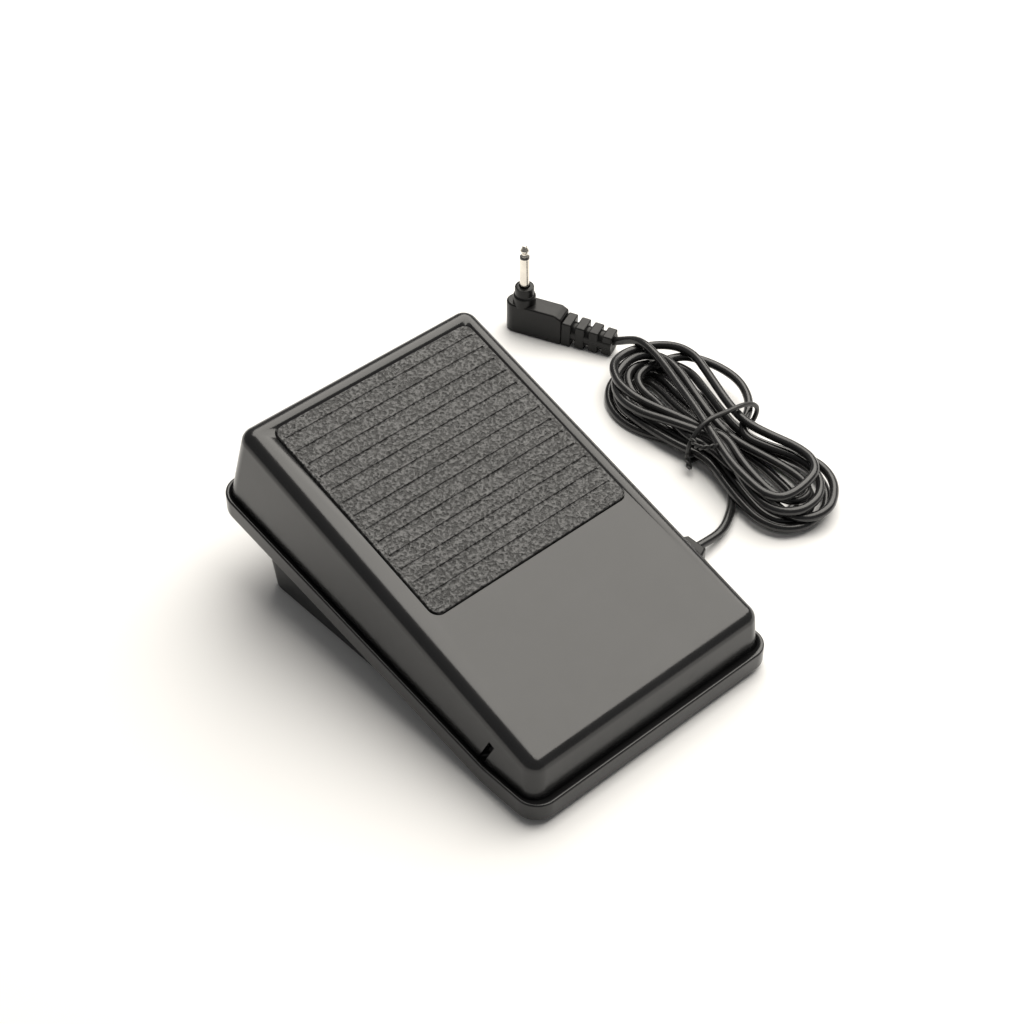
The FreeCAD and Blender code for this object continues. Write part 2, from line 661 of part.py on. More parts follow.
def hinge_pin():
    """The steel rod that the treadle turns on, seen at the bottom of the slots in its sides."""
    half = "(dims.cover_width / 2 - dims.cover_wall)"
    rod = primitive("Cylinder", "pin_rod", [f"-{half}", "dims.hinge_y", "dims.hinge_z"], ALONG_X,
                    Radius="dims.pin_radius", Height=f"2 * {half}")
    doc.recompute()
    ends = doc.addObject("Part::Chamfer", "hinge_pin")
    ends.Base = rod
    rims = [i for i, edge in enumerate(rod.Shape.Edges, start=1) if edge.BoundBox.XLength < 0.01]
    ends.Edges = [(number, 0.3, 0.3) for number in rims]
    return ends


def return_spring(name, x):
    """A compression spring between its cup in the base and its post under the cover."""
    wire = dim("spring_wire")
    low = dim("spring_bottom") + wire
    high = dim("spring_top") - dim("free_gap") - wire
    turns = dim("spring_turns")
    radius = dim("spring_radius")
    steps = 16 * int(turns)
    spots = []
    for i in range(steps + 1):
        angle = 2 * math.pi * turns * i / steps
        spots.append(Vector(radius * math.cos(angle), radius * math.sin(angle),
                            (high - low) * i / steps))
    curve = Part.BSplineCurve()
    curve.interpolate(spots)
    start = curve.tangent(curve.FirstParameter)[0]
    section = Part.Wire(Part.makeCircle(wire, spots[0], start))
    swept = Part.Wire(curve.toShape()).makePipeShell([section], True, False)
    spring = doc.addObject("Part::Feature", name)
    spring.Shape = swept
    spring.Placement = Placement(Vector(worth(x), dim("spring_y"), low), Rotation())
    return spring


def stop_pads():
    """Rubber pads on the base's floor that end the treadle's travel."""
    return group("stop_pads", *both_sides(
        lambda name, x: primitive("Cylinder", name, [x, "dims.stop_y", FLOOR_IN_BASE], Radius=5,
                                  Height="dims.stop_height"), "stop_pad", "dims.stop_x"))


def screw(name, x, y, seat, length):
    """A small pan-head screw with a cross recess, its head resting on seat."""
    head = primitive("Cylinder", name + "_head", [x, y, seat], Radius=2.0, Height=1.5)
    shank = primitive("Cylinder", name + "_shank", [x, y, f"({seat}) - {length}"], Radius=0.95,
                      Height=f"{length} + 0.5")
    recess = [box(f"{name}_recess_{k}", [f"{x} - {a}", f"{y} - {b}", f"({seat}) + 0.8"],
                  [f"{x} + {a}", f"{y} + {b}", f"({seat}) + 2"])
              for k, (a, b) in enumerate([(1.2, 0.25), (0.25, 1.2)])]
    return cut(name, fuse(name + "_blank", head, shank), *recess)


def screws(name, places, seat, length):
    """Identical screws in one node."""
    return group(name, *[screw(f"{name}_{i}", x, y, seat, length)
                         for i, (x, y) in enumerate(places)])


# ---------------------------------------------------------------- speed sensor
def control_board():
    """The circuit board with the few components that a resistive foot control carries."""
    low = "dims.board_z"
    top = "(dims.board_z + dims.board_thick)"
    plate = box("board_plate", ["-22", "-34", low], ["12", "6", top])
    holes = [primitive("Cylinder", f"board_hole_{i}", [x, y, f"{low} - 1"], Radius=1.2, Height=4)
             for i, (x, y) in enumerate(BOARD_SCREWS)]
    return cut("control_board", plate, *holes)


def board_parts():
    """Terminal block, resistor and capacitor soldered to the board."""
    top = "(dims.board_z + dims.board_thick)"
    terminal = box("terminal_block", ["2", "-26", top], ["10", "-16", f"{top} + 6"])
    resistor = primitive("Cylinder", "resistor", ["-16", "-22", f"{top} + 1.2"], ALONG_X,
                         Radius=1.2, Height=7)
    capacitor = primitive("Cylinder", "capacitor", ["-6", "-28", top], Radius=2.5, Height=7)
    return group("board_parts", terminal, resistor, capacitor)


SENSOR_FACE = 5.0
BRACKET_PLATE = 1.2


def sensor_bracket():
    """The folded steel bracket that holds the potentiometer up on edge."""
    floor = box("bracket_floor", ["-17", "8.5", str(BRACKET_FLOOR)],
                [str(SENSOR_FACE + BRACKET_PLATE), "15.5", f"{BRACKET_FLOOR} + {BRACKET_PLATE}"])
    wall = box("bracket_wall", [str(SENSOR_FACE), "dims.sensor_y - 7.5", "dims.board_z + 2.2"],
               [str(SENSOR_FACE + BRACKET_PLATE), "15.5", "dims.sensor_z + 8"])
    foot = box("bracket_foot", [str(SENSOR_FACE), "8.5", str(BRACKET_FLOOR)],
               [str(SENSOR_FACE + BRACKET_PLATE), "15.5", "dims.sensor_z"])
    bushing = primitive("Cylinder", "bushing_hole",
                        ["0", "dims.sensor_y", "dims.sensor_z"], ALONG_X,
                        Radius="dims.shaft_radius + 1.6", Height=12)
    holes = [primitive("Cylinder", f"bracket_hole_{i}", [x, y, "0"], Radius=1.2, Height=12)
             for i, (x, y) in enumerate(BRACKET_SCREWS)]
    return cut("sensor_bracket", fuse("bracket_blank", floor, wall, foot), bushing, *holes)


def potentiometer():
    """The round body of the potentiometer with its threaded bushing and its three tags."""
    at = ["dims.sensor_y", "dims.sensor_z"]
    can = primitive("Cylinder", "pot_can", [f"{SENSOR_FACE} - 8.5", *at], ALONG_X,
                    Radius="dims.sensor_radius", Height=8.5)
    bushing = primitive("Cylinder", "pot_bushing", [f"{SENSOR_FACE} - 1", *at], ALONG_X,
                        Radius="dims.shaft_radius + 1.5", Height=6)
    tags = [box(f"pot_tag_{k}", [f"{SENSOR_FACE} - 4", f"dims.sensor_y + {k * 5 - 0.7}",
                                 "dims.board_z + dims.board_thick + 0.1"],
                [f"{SENSOR_FACE} - 3.4", f"dims.sensor_y + {k * 5 + 0.7}", "dims.sensor_z"])
            for k in (-1, 0, 1)]
    bore = primitive("Cylinder", "pot_bore", [f"{SENSOR_FACE} - 4", *at], ALONG_X,
                     Radius="dims.shaft_radius + dims.pin_clearance", Height=12)
    return cut("potentiometer", fuse("pot_blank", can, bushing, *tags), bore)


def sensor_nut():
    """The hexagon nut that clamps the potentiometer to its bracket."""
    start = f"{SENSOR_FACE + BRACKET_PLATE}"
    nut = primitive("Prism", "nut_blank", [start, "dims.sensor_y", "dims.sensor_z"], ALONG_X,
                    Circumradius=7, Height=2)
    nut.Polygon = 6
    hole = primitive("Cylinder", "nut_hole", [f"{start} - 1", "dims.sensor_y", "dims.sensor_z"],
                     ALONG_X, Radius="dims.shaft_radius + 1.5", Height=4)
    return cut("sensor_nut", nut, hole)


ARM_FROM = 11.0
ARM_TO = 15.0


def sensor_shaft():
    """The shaft that the arm turns in the potentiometer."""
    return primitive("Cylinder", "sensor_shaft", [f"{SENSOR_FACE} - 3.5", "dims.sensor_y",
                                                  "dims.sensor_z"], ALONG_X,
                     Radius="dims.shaft_radius", Height=f"{ARM_TO} + 1 - {SENSOR_FACE} + 3.5")


def sensor_arm():
    """The moulded arm on the shaft; its peg runs in the fork under the cover."""
    hub = primitive("Cylinder", "arm_hub", [str(ARM_FROM), "dims.sensor_y", "dims.sensor_z"],
                    ALONG_X, Radius="dims.shaft_radius + 2.2", Height=ARM_TO - ARM_FROM)
    turn = Rotation(Vector(1, 0, 0), dim("arm_rest"))
    corner = turn.multVec(Vector(0, 0, -1.8))
    bar = primitive("Box", "arm_bar", [str(ARM_FROM), f"dims.sensor_y + {corner.y}",
                                       f"dims.sensor_z + {corner.z}"], turn,
                    Length=ARM_TO - ARM_FROM, Width="dims.arm_length", Height=3.6)
    tip = primitive("Cylinder", "arm_tip", [str(ARM_FROM), PEG_Y, PEG_Z], ALONG_X, Radius=1.8,
                    Height=ARM_TO - ARM_FROM)
    peg = primitive("Cylinder", "arm_peg", [str(ARM_FROM + 1), PEG_Y, PEG_Z], ALONG_X,
                    Radius="dims.peg_radius", Height=9.5)
    bore = primitive("Cylinder", "arm_bore", [f"{ARM_FROM} - 1", "dims.sensor_y",
                                              "dims.sensor_z"], ALONG_X,
                     Radius="dims.shaft_radius", Height=ARM_TO - ARM_FROM + 2)
    return cut("sensor_arm", fuse("arm_blank", hub, bar, tip, peg), bore)


# ---------------------------------------------------------------- cord entry
def strain_relief():
    """The moulded block that guides the cord out through the base's side wall."""
    body = new_body("relief_block")
    plan = sketch_on(body, "relief_plan", "XY_Plane")
    near = "dims.base_width / 2"
    polygon(plan, [
        (near, "dims.exit_y - dims.relief_width / 2 - 0.2"),
        ("dims.exit_x - 3", "dims.exit_y - dims.relief_width / 2"),
        ("dims.exit_x", "dims.exit_y - dims.relief_width / 2 + 1.6"),
        ("dims.exit_x", "dims.exit_y + dims.relief_width / 2 - 1.6"),
        ("dims.exit_x - 3", "dims.exit_y + dims.relief_width / 2"),
        (near, "dims.exit_y + dims.relief_width / 2 + 0.2"),
    ])
    plan.setExpression("AttachmentOffset.Base.z", "dims.relief_low")
    pad(body, plan, "dims.relief_height")
    neck = box("relief_neck",
               [f"{near} - dims.base_wall - 0.1", "dims.exit_y - dims.relief_width / 2 + 1.5",
                "dims.relief_low + 0.9"],
               [f"{near} + 1", "dims.exit_y + dims.relief_width / 2 - 1.5",
                "dims.relief_low + dims.relief_height"])
    flange = box("relief_flange",
                 [f"{near} - dims.base_wall - 1.7", "dims.exit_y - dims.relief_width / 2",
                  "dims.relief_low + 2"],
                 [f"{near} - dims.base_wall - 0.1", "dims.exit_y + dims.relief_width / 2",
                  "dims.relief_low + dims.relief_height"])
    blank = round_edges("relief_rounded", fuse("relief_blank", body, neck, flange), 0.8,
                        lambda edge: edge.BoundBox.XMin > dim("base_width") / 2 + 1
                        and edge.BoundBox.ZMin > dim("relief_low") + 1)
    bore = primitive("Cylinder", "relief_bore", ["30", "dims.exit_y", "dims.exit_z"], ALONG_X,
                     Radius="dims.cord_diameter / 2", Height=60)
    return cut("strain_relief", blank, bore)


def inner_cord():
    """The cord inside the housing, from the strain relief through the clamp to the board."""
    sheath = primitive("Cylinder", "inner_sheath", ["26", "dims.exit_y", "dims.exit_z"], ALONG_X,
                       Radius="dims.cord_diameter / 2", Height="dims.exit_x - 26")
    return sheath


def core_wires():
    """Two insulated cores that rise from the sheath to the terminal block."""
    wires = []
    for i, shift in enumerate((-1.0, 1.0)):
        y = dim("exit_y") + shift
        points = [Vector(26, y, dim("exit_z")), Vector(20, y, dim("exit_z")),
                  Vector(14.5, y + 1.5 + shift, 10.5), Vector(10, y + 3 + 2 * shift, 11.5)]
        wires.append(round_tube(f"core_{i}", points, 0.6))
    return group("core_wires", *wires)


def cord_clamp():
    """The bar that holds the cord down against its cradle."""
    low = "(dims.exit_z + 0.3)"
    bar = box("clamp_bar", ["28", "dims.exit_y - 11.5", low],
              ["34", "dims.exit_y + 11.5", str(CLAMP_TOP)])
    groove = primitive("Cylinder", "clamp_bar_groove", ["27", "dims.exit_y", "dims.exit_z"],
                       ALONG_X, Radius="dims.cord_diameter / 2", Height=8)
    holes = [primitive("Cylinder", f"clamp_hole_{i}", [x, y, "0"], Radius=1.2, Height=12)
             for i, (x, y) in enumerate(CLAMP_SCREWS)]
    return cut("cord_clamp", bar, groove, *holes)


# ---------------------------------------------------------------- cord
def rounded_path(points):
    """Straight runs joined by tangent arcs, each as large as its two runs allow.

    Returns the wire and the arcs' radii.
    """
    edges = []
    radii = []
    start = points[0]
    for before, corner, after in zip(points, points[1:], points[2:]):
        toward = (before - corner)
        away = (after - corner)
        setback = 0.45 * min(toward.Length, away.Length)
        toward.normalize()
        away.normalize()
        half_turn = (math.pi - toward.getAngle(away)) / 2
        radius = setback / math.tan(half_turn)
        first = corner + toward * setback
        last = corner + away * setback
        bisector = (toward + away).normalize()
        middle = corner + bisector * (radius / math.cos(half_turn) - radius)
        edges.append(Part.LineSegment(start, first).toShape())
        edges.append(Part.Arc(first, middle, last).toShape())
        radii.append(radius)
        start = last
    edges.append(Part.LineSegment(start, points[-1]).toShape())
    return Part.Wire(edges), radii


def round_tube(name, points, radius):
    """A round tube along a rounded path, as a plain feature; prints its radii and volume."""
    path, radii = rounded_path(points)
    direction = (points[1] - points[0]).normalize()
    section = Part.Wire(Part.makeCircle(radius, points[0], direction))
    solid = path.makePipeShell([section], True, False)
    tube = doc.addObject("Part::Feature", name)
    tube.Shape = solid
    expected = math.pi * radius ** 2 * path.Length
    print(name, "length", round(path.Length, 1), "radii", [round(r, 1) for r in radii],
          "volume / expected", round(solid.Volume / expected, 4))
    return tube


# Centre of the cord from the strain relief to where it passes under the tied middle of the hank.
LEAD_ROUTE = [
    (65.6, -26.0, 4.8), (79.5, -25.0, 2.4), (93.0, -16.8, 1.7), (101.8, -3.5, 1.7),
    (104.5, 11.0, 1.7),
]
# Centre of the cord from the top of the hank's far end to the plug's ribbed sleeve.
TAIL_ROUTE = [
    (117.5, 50.0, 10.5), (121.0, 57.0, 9.0), (121.6, 62.5, 6.2), (119.7, 67.9, 4.5),
]
# Plan of the hank, with a wide lobe each side of the tie.
HANK_OUTLINE = [
    (98.8, 4.0), (91.6, 16.0), (88.9, 33.0), (92.2, 49.0), (104.0, 59.5), (120.0, 61.0),
    (132.0, 52.0), (136.5, 32.0), (132.5, 15.0), (122.8, 4.5), (122.8, -7.0), (124.3, -22.0),
    (120.5, -37.0), (109.0, -47.5), (95.0, -46.8), (87.2, -36.0), (87.6, -23.0), (95.5, -9.0),
]


def as_vectors(route):
    return [Vector(*spot) for spot in route]


def cord_hank():
    """The outer shape of the wound cord: a slab with a pinched plan and bevelled edges."""
    outline = Part.BSplineCurve()
    outline.interpolate([Vector(x, y, 0) for x, y in HANK_OUTLINE], PeriodicFlag=True)
    base = Part.Face(Part.Wire(outline.toShape()))
    slab = base.extrude(Vector(0, 0, dim("hank_height")))
    hank = doc.addObject("Part::Feature", "cord_hank")
    hank.Shape = slab.makeChamfer(2.0, [edge for edge in slab.Edges
                                        if edge.BoundBox.ZLength < 0.01])
    return hank


def cord_tie():
    """The soft wire tie round the middle of the hank."""
    half_width = 14.2
    wire = 0.9
    ring = primitive("Box", "tie_outer", [f"dims.tie_x - {half_width}", "dims.tie_y - 0.9", "0"],
                     Length=2 * half_width, Width=1.8, Height="dims.hank_height + 2")
    rounded = round_edges("tie_rounded", ring, 5.0, lambda edge: abs(run_of(edge).y) > 0.9)
    doc.recompute()
    hollow = primitive("Box", "tie_inner", [f"dims.tie_x - {half_width} + {wire}",
                                            "dims.tie_y - 2", f"{wire}"],
                       Length=2 * (half_width - wire), Width=4,
                       Height=f"dims.hank_height + 2 - {2 * wire}")
    inner = round_edges("tie_hollow", hollow, 4.2, lambda edge: abs(run_of(edge).y) > 0.9)
    return cut("cord_tie", rounded, inner)


# ---------------------------------------------------------------- jack plug
PLUG_TURN = Rotation(Vector(0, 0, 1), dim("plug_turn"))


def along_plug(distance, side=0.0):
    """Rules for a place at a distance along the plug's body from the jack's axis."""
    return [f"dims.jack_x + ({distance}) * cos(dims.plug_turn) - ({side}) * sin(dims.plug_turn)",
            f"dims.jack_y + ({distance}) * sin(dims.plug_turn) + ({side}) * cos(dims.plug_turn)"]


def place_on_plug(body, distance=0.0):
    """Turn a body made along X to the plug's direction and set it at the jack's axis."""
    body.Placement = Placement(Vector(), PLUG_TURN)
    for letter, rule in zip("xy", along_plug(distance)):
        body.setExpression("Placement.Base." + letter, rule)


def plug_body():
    """The moulded body: a bar with a round end under the jack, cut lower at the sleeve."""
    body = new_body("plug_bar")
    side = sketch_on(body, "plug_side", "XZ_Plane")
    polygon(side, [
        ("-dims.plug_back", "0"), ("dims.plug_length", "0"),
        ("dims.plug_length", "dims.plug_low_end"),
        ("dims.plug_length - 2.5", "dims.plug_height"), ("-dims.plug_back", "dims.plug_height"),
    ])
    pad(body, side, "dims.plug_width", symmetric=True)
    place_on_plug(body)
    end = primitive("Cylinder", "plug_end", along_plug("-dims.plug_back") + ["0"],
                    Radius="dims.plug_width / 2", Height="dims.plug_height")
    jack_at = ["dims.jack_x", "dims.jack_y"]
    step = primitive("Cylinder", "plug_collar_step", jack_at + ["dims.plug_height - 1"],
                     Radius="dims.collar_radius", Height="dims.collar_height / 2 + 1")
    collar = primitive("Cylinder", "plug_collar", jack_at + ["dims.plug_height - 1"],
                       Radius="dims.collar_top_radius", Height="dims.collar_height + 1")
    blank = fuse("plug_blank", body, end, step, collar)
    socket = primitive("Cylinder", "jack_socket", jack_at + ["5"],
                       Radius="dims.jack_radius - 0.35", Height=30)
    return cut("plug_body", blank, socket)


def plug_sleeve():
    """The slotted, flexible sleeve that keeps the cord from kinking at the plug."""
    body = new_body("sleeve_bar")
    side = sketch_on(body, "sleeve_side", "XZ_Plane")
    polygon(side, [
        ("0", "0"), ("dims.sleeve_length", "0.6"), ("dims.sleeve_length", "dims.sleeve_end"),
        ("0", "dims.sleeve_start"),
    ])
    pad(body, side, "dims.plug_width - 0.4", symmetric=True)
    place_on_plug(body, "dims.plug_length")
    slots = []
    for k in range(3):
        start = 3.2 + 5.2 * k
        for label, low in (("a", 2.6), ("b", -7.6)):
            slots.append(primitive("Box", f"sleeve_slot_{k}{label}",
                                   along_plug(f"dims.plug_length + {start}", low) + ["-1"],
                                   PLUG_TURN, Length=1.8, Width=5, Height=14))
    slotted = cut("sleeve_slotted", body, *slots)
    bore = primitive("Cylinder", "sleeve_bore",
                     along_plug("dims.plug_length + 3") + ["4.5"], PLUG_TURN * ALONG_X,
                     Radius="dims.cord_diameter / 2", Height=24)
    return cut("plug_sleeve", slotted, bore)


JACK_SEAT = "(dims.plug_height + dims.collar_height)"


def jack_ring_z():
    """Height of the insulating ring on the jack."""
    return f"({JACK_SEAT} + dims.jack_length - 5.2)"


def jack_sleeve():
    """The earthed barrel of the jack, on a thinner shank pressed into the plug's body."""
    seat = f"({JACK_SEAT} + 0.4)"
    barrel = primitive("Cylinder", "jack_barrel", ["dims.jack_x", "dims.jack_y", seat],
                       Radius="dims.jack_radius", Height=f"{jack_ring_z()} - {seat}")
    shank = primitive("Cylinder", "jack_shank", ["dims.jack_x", "dims.jack_y", "5"],
                      Radius="dims.jack_radius - 0.35", Height=f"{seat} - 5")
    return fuse("jack_sleeve", barrel, shank)


def jack_ring():
    """The black insulating ring between barrel and tip."""
    return primitive("Cylinder", "jack_ring", ["dims.jack_x", "dims.jack_y", jack_ring_z()],
                     Radius="dims.jack_radius", Height=0.8)


def jack_tip():
    """The tip of the jack: a waist, a swelling and a blunt cone, turned as one piece."""
    body = new_body("jack_tip")
    side = sketch_on(body, "tip_side", "XZ_Plane")
    polygon(side, [
        ("0", "0"), ("1.5", "0"), ("1.5", "0.3"), ("1.05", "0.8"), ("1.05", "1.4"),
        ("1.6", "2.2"), ("1.6", "2.7"), ("0.9", "4"), ("0.45", "4.4"), ("0", "4.4"),
    ])
    turned = body.newObject("PartDesign::Revolution", "tip_turned")
    turned.Profile = side
    turned.ReferenceAxis = (side, ["V_Axis"])
    turned.Angle = 360
    body.setExpression("Placement.Base.x", "dims.jack_x")
    body.setExpression("Placement.Base.y", "dims.jack_y")
    body.setExpression("Placement.Base.z", f"{jack_ring_z()} + 0.8")
    return body


# ---------------------------------------------------------------- build, check and write
NODES = {
    "treadle_cover": treadle_cover(),
    "rim_frame": rim_frame(),
    "tread_panel": tread_panel(),
    "drive_fork": drive_fork(),
    "fork_screw": fork_screw(),
    "base_tray": base_tray(),
    "rubber_feet": rubber_feet(),
    "hinge_pin": hinge_pin(),
    "return_spring_right": return_spring("return_spring_right", "dims.spring_x"),
    "return_spring_left": return_spring("return_spring_left", "-dims.spring_x"),
    "stop_pads": stop_pads(),
    "control_board": control_board(),
    "board_parts": board_parts(),
    "board_screws": screws("board_screws", BOARD_SCREWS, "dims.board_z + dims.board_thick", 4),
    "sensor_bracket": sensor_bracket(),
    "bracket_screws": screws("bracket_screws", BRACKET_SCREWS,
                             f"{BRACKET_FLOOR + BRACKET_PLATE}", 3.6),
    "potentiometer": potentiometer(),
    "sensor_nut": sensor_nut(),
    "sensor_shaft": sensor_shaft(),
    "sensor_arm": sensor_arm(),
    "strain_relief": strain_relief(),
    "inner_cord": inner_cord(),
    "core_wires": core_wires(),
    "cord_clamp": cord_clamp(),
    "clamp_screws": screws("clamp_screws", CLAMP_SCREWS, str(CLAMP_TOP), 5),
    "cord_lead": round_tube("cord_lead", as_vectors(LEAD_ROUTE), dim("cord_diameter") / 2),
    "cord_hank": cord_hank(),
    "cord_tail": round_tube("cord_tail", as_vectors(TAIL_ROUTE), dim("cord_diameter") / 2),
    "cord_tie": cord_tie(),
    "plug_body": plug_body(),
    "plug_sleeve": plug_sleeve(),
    "jack_sleeve": jack_sleeve(),
    "jack_ring": jack_ring(),
    "jack_tip": jack_tip(),
}

doc.recompute()
failed = [item.Name for item in doc.Objects
          if "Invalid" in item.State or "Error" in item.State]
if failed:
    raise RuntimeError("features failed: " + ", ".join(failed))

os.makedirs("parts", exist_ok=True)
for node, item in NODES.items():
    item.Label = node
    shape = item.Shape
    if shape.isNull() or not shape.isValid():
        raise RuntimeError(node + " has no valid shape")
    shape.exportStep(f"parts/{node}.step")
    span = shape.BoundBox
    print(f"{node:20s} solids {len(shape.Solids)} volume {shape.Volume:9.1f}"
          f"  x {span.XMin:.1f} {span.XMax:.1f}  y {span.YMin:.1f} {span.YMax:.1f}"
          f"  z {span.ZMin:.1f} {span.ZMax:.1f}")
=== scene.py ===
import bmesh
import numpy as np
import bpy
import math
from mathutils import Matrix, Vector


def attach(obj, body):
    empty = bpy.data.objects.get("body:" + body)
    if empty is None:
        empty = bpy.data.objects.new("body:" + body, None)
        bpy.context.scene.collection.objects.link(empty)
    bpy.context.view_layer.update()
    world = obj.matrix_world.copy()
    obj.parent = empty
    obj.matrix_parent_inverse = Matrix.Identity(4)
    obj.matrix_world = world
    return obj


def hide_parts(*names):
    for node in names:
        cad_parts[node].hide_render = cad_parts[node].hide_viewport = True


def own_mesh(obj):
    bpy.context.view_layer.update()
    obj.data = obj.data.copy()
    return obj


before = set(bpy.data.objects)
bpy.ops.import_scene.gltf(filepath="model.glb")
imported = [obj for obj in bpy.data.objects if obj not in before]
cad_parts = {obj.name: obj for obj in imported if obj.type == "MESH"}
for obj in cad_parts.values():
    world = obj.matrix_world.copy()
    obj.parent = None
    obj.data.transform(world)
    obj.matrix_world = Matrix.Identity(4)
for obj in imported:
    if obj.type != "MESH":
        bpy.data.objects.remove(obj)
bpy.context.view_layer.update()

# Looks of a sewing machine's foot control: moulded treadle on a wedge base, grooved tread panel,
# and a thin cord wound in a tied hank that ends in a right-angle jack.
# Metres, +Z up, the thin end at -Y, the cord on the +X side. MM turns millimetres into metres.
bl_info = {
    "name": "Foot control looks",
    "version": (1, 0, 0),
    "blender": (4, 5, 0),
    "location": "View3D > Sidebar > Foot control",
    "description": "Builds the visible pieces of a sewing machine foot control round its frame",
    "category": "Object",
}

MM = 0.001


def mm(*values):
    """A point given in millimetres."""
    return Vector(values) * MM


# ---------------------------------------------------------------- settings
class FootControlSizes(bpy.types.PropertyGroup):
    """Sizes that a user may change without leaving the frame."""
    cord_diameter: bpy.props.FloatProperty(
        name="Cord diameter", description="Outside of the round two-core cord",
        default=3.1 * MM, min=2 * MM, max=4 * MM, unit="LENGTH")
    groove_pitch: bpy.props.FloatProperty(
        name="Groove pitch", description="Distance from one tread groove to the next",
        default=5.59 * MM, min=3 * MM, max=9 * MM, unit="LENGTH")
    groove_count: bpy.props.IntProperty(
        name="Grooves", description="Number of grooves across the tread panel",
        default=13, min=1, max=20)
    groove_radius: bpy.props.FloatProperty(
        name="Groove radius", description="Radius of the round bottom of a tread groove",
        default=0.42 * MM, min=0.1 * MM, max=1 * MM, unit="LENGTH")
    sleeve_ribs: bpy.props.IntProperty(
        name="Sleeve ribs", description="Ribs on the plug's bending sleeve",
        default=4, min=2, max=6)
    tie_diameter: bpy.props.FloatProperty(
        name="Tie diameter", description="Coated wire that ties the hank",
        default=1.7 * MM, min=0.8 * MM, max=2.4 * MM, unit="LENGTH")


class FootControlFinish(bpy.types.PropertyGroup):
    """Colours and surface of the main materials."""
    cover_colour: bpy.props.FloatVectorProperty(
        name="Cover", description="Colour of the moulded cover", subtype="COLOR",
        default=(0.012, 0.012, 0.0125), min=0, max=1)
    panel_colour: bpy.props.FloatVectorProperty(
        name="Tread panel", description="Colour of the pebbled tread panel", subtype="COLOR",
        default=(0.020, 0.020, 0.020), min=0, max=1)
    cord_colour: bpy.props.FloatVectorProperty(
        name="Cord", description="Colour of the cord and its mouldings", subtype="COLOR",
        default=(0.013, 0.013, 0.0135), min=0, max=1)
    cover_roughness: bpy.props.FloatProperty(
        name="Cover roughness", description="How dull the moulded cover is",
        default=0.22, min=0, max=1, subtype="FACTOR")


# ---------------------------------------------------------------- material helpers
class Recipe:
    """A material under construction: its node tree and its shader."""

    def __init__(self, name):
        self.material = bpy.data.materials.new(name)
        self.material.use_nodes = True
        self.tree = self.material.node_tree
        self.tree.nodes.clear()
        output = self.tree.nodes.new("ShaderNodeOutputMaterial")
        self.shader = self.tree.nodes.new("ShaderNodeBsdfPrincipled")
        self.tree.links.new(self.shader.outputs["BSDF"], output.inputs["Surface"])
        self.place = self.tree.nodes.new("ShaderNodeTexCoord").outputs["Object"]

    def node(self, kind, **values):
        """Add a node and set its inputs by name."""
        made = self.tree.nodes.new("ShaderNode" + kind)
        for name, value in values.items():
            made.inputs[name.replace("_", " ")].default_value = value
        return made

    def link(self, start, end):
        """Join an output to an input."""
        self.tree.links.new(start, end)

    def stretched(self, scale):
        """Object coordinates scaled by a triple."""
        mapping = self.node("Mapping", Scale=scale)
        self.link(self.place, mapping.inputs["Vector"])
        return mapping.outputs["Vector"]

    def noise(self, size, detail=4.0, roughness=0.5, place=None):
        """Noise whose features are about size metres across."""
        made = self.node("TexNoise", Scale=1 / size, Detail=detail, Roughness=roughness)
        self.link(place or self.place, made.inputs["Vector"])
        return made.outputs["Fac"]

    def spread(self, value, low, high):
        """Stretch a 0.3 to 0.7 pattern over a range."""
        made = self.node("MapRange", From_Min=0.3, From_Max=0.7, To_Min=low, To_Max=high)
        self.link(value, made.inputs["Value"])
        return made.outputs["Result"]

    def tint(self, value, dark, light, start=0.3, end=0.7):
        """Colour from a pattern."""
        ramp = self.tree.nodes.new("ShaderNodeValToRGB")
        ramp.color_ramp.elements[0].position = start
        ramp.color_ramp.elements[0].color = (*dark, 1)
        ramp.color_ramp.elements[1].position = end
        ramp.color_ramp.elements[1].color = (*light, 1)
        self.link(value, ramp.inputs["Fac"])
        return ramp.outputs["Color"]

    def bump(self, height, distance, below=None):
        """A bump that adds to the one below it."""
        made = self.node("Bump", Distance=distance, Strength=1.0)
        self.link(height, made.inputs["Height"])
        if below is not None:
            self.link(below, made.inputs["Normal"])
        return made.outputs["Normal"]

    def finish(self, colour=None, roughness=None, normal=None, **constants):
        """Wire the patterns to the shader; constants go on its own sockets."""
        for name, value in constants.items():
            self.shader.inputs[name.replace("_", " ")].default_value = value
        for name, source in (("Base Color", colour), ("Roughness", roughness),
                             ("Normal", normal)):
            if source is not None:
                self.link(source, self.shader.inputs[name])
        return self.material


def shade(colour, factor):
    """A colour made darker or lighter."""
    return tuple(min(1.0, channel * factor) for channel in colour)


def moulded(name, colour, roughness, grain, depth, sheen=0.5):
    """Moulded plastic: spark-eroded grain, slow mottling and faint handling marks."""
    recipe = Recipe(name)
    mottle = recipe.noise(22 * MM, detail=3)
    smear = recipe.noise(6 * MM, detail=5, roughness=0.65)
    fine = recipe.noise(grain, detail=2)
    tone = recipe.tint(mottle, shade(colour, 0.86), shade(colour, 1.16))
    dull = recipe.spread(smear, roughness - 0.03, roughness + 0.04)
    normal = recipe.bump(fine, depth)
    return recipe.finish(tone, dull, normal, Specular_IOR_Level=sheen)


def cover_plastic():
    """Satin black plastic of the treadle and its rim."""
    finish = bpy.context.scene.foot_control_finish
    return moulded("cover_plastic", tuple(finish.cover_colour), finish.cover_roughness,
                   0.5 * MM, 0.003 * MM)


def base_plastic():
    """Duller black plastic of the base."""
    return moulded("base_plastic", (0.013, 0.013, 0.0135), 0.36, 0.8 * MM, 0.015 * MM)


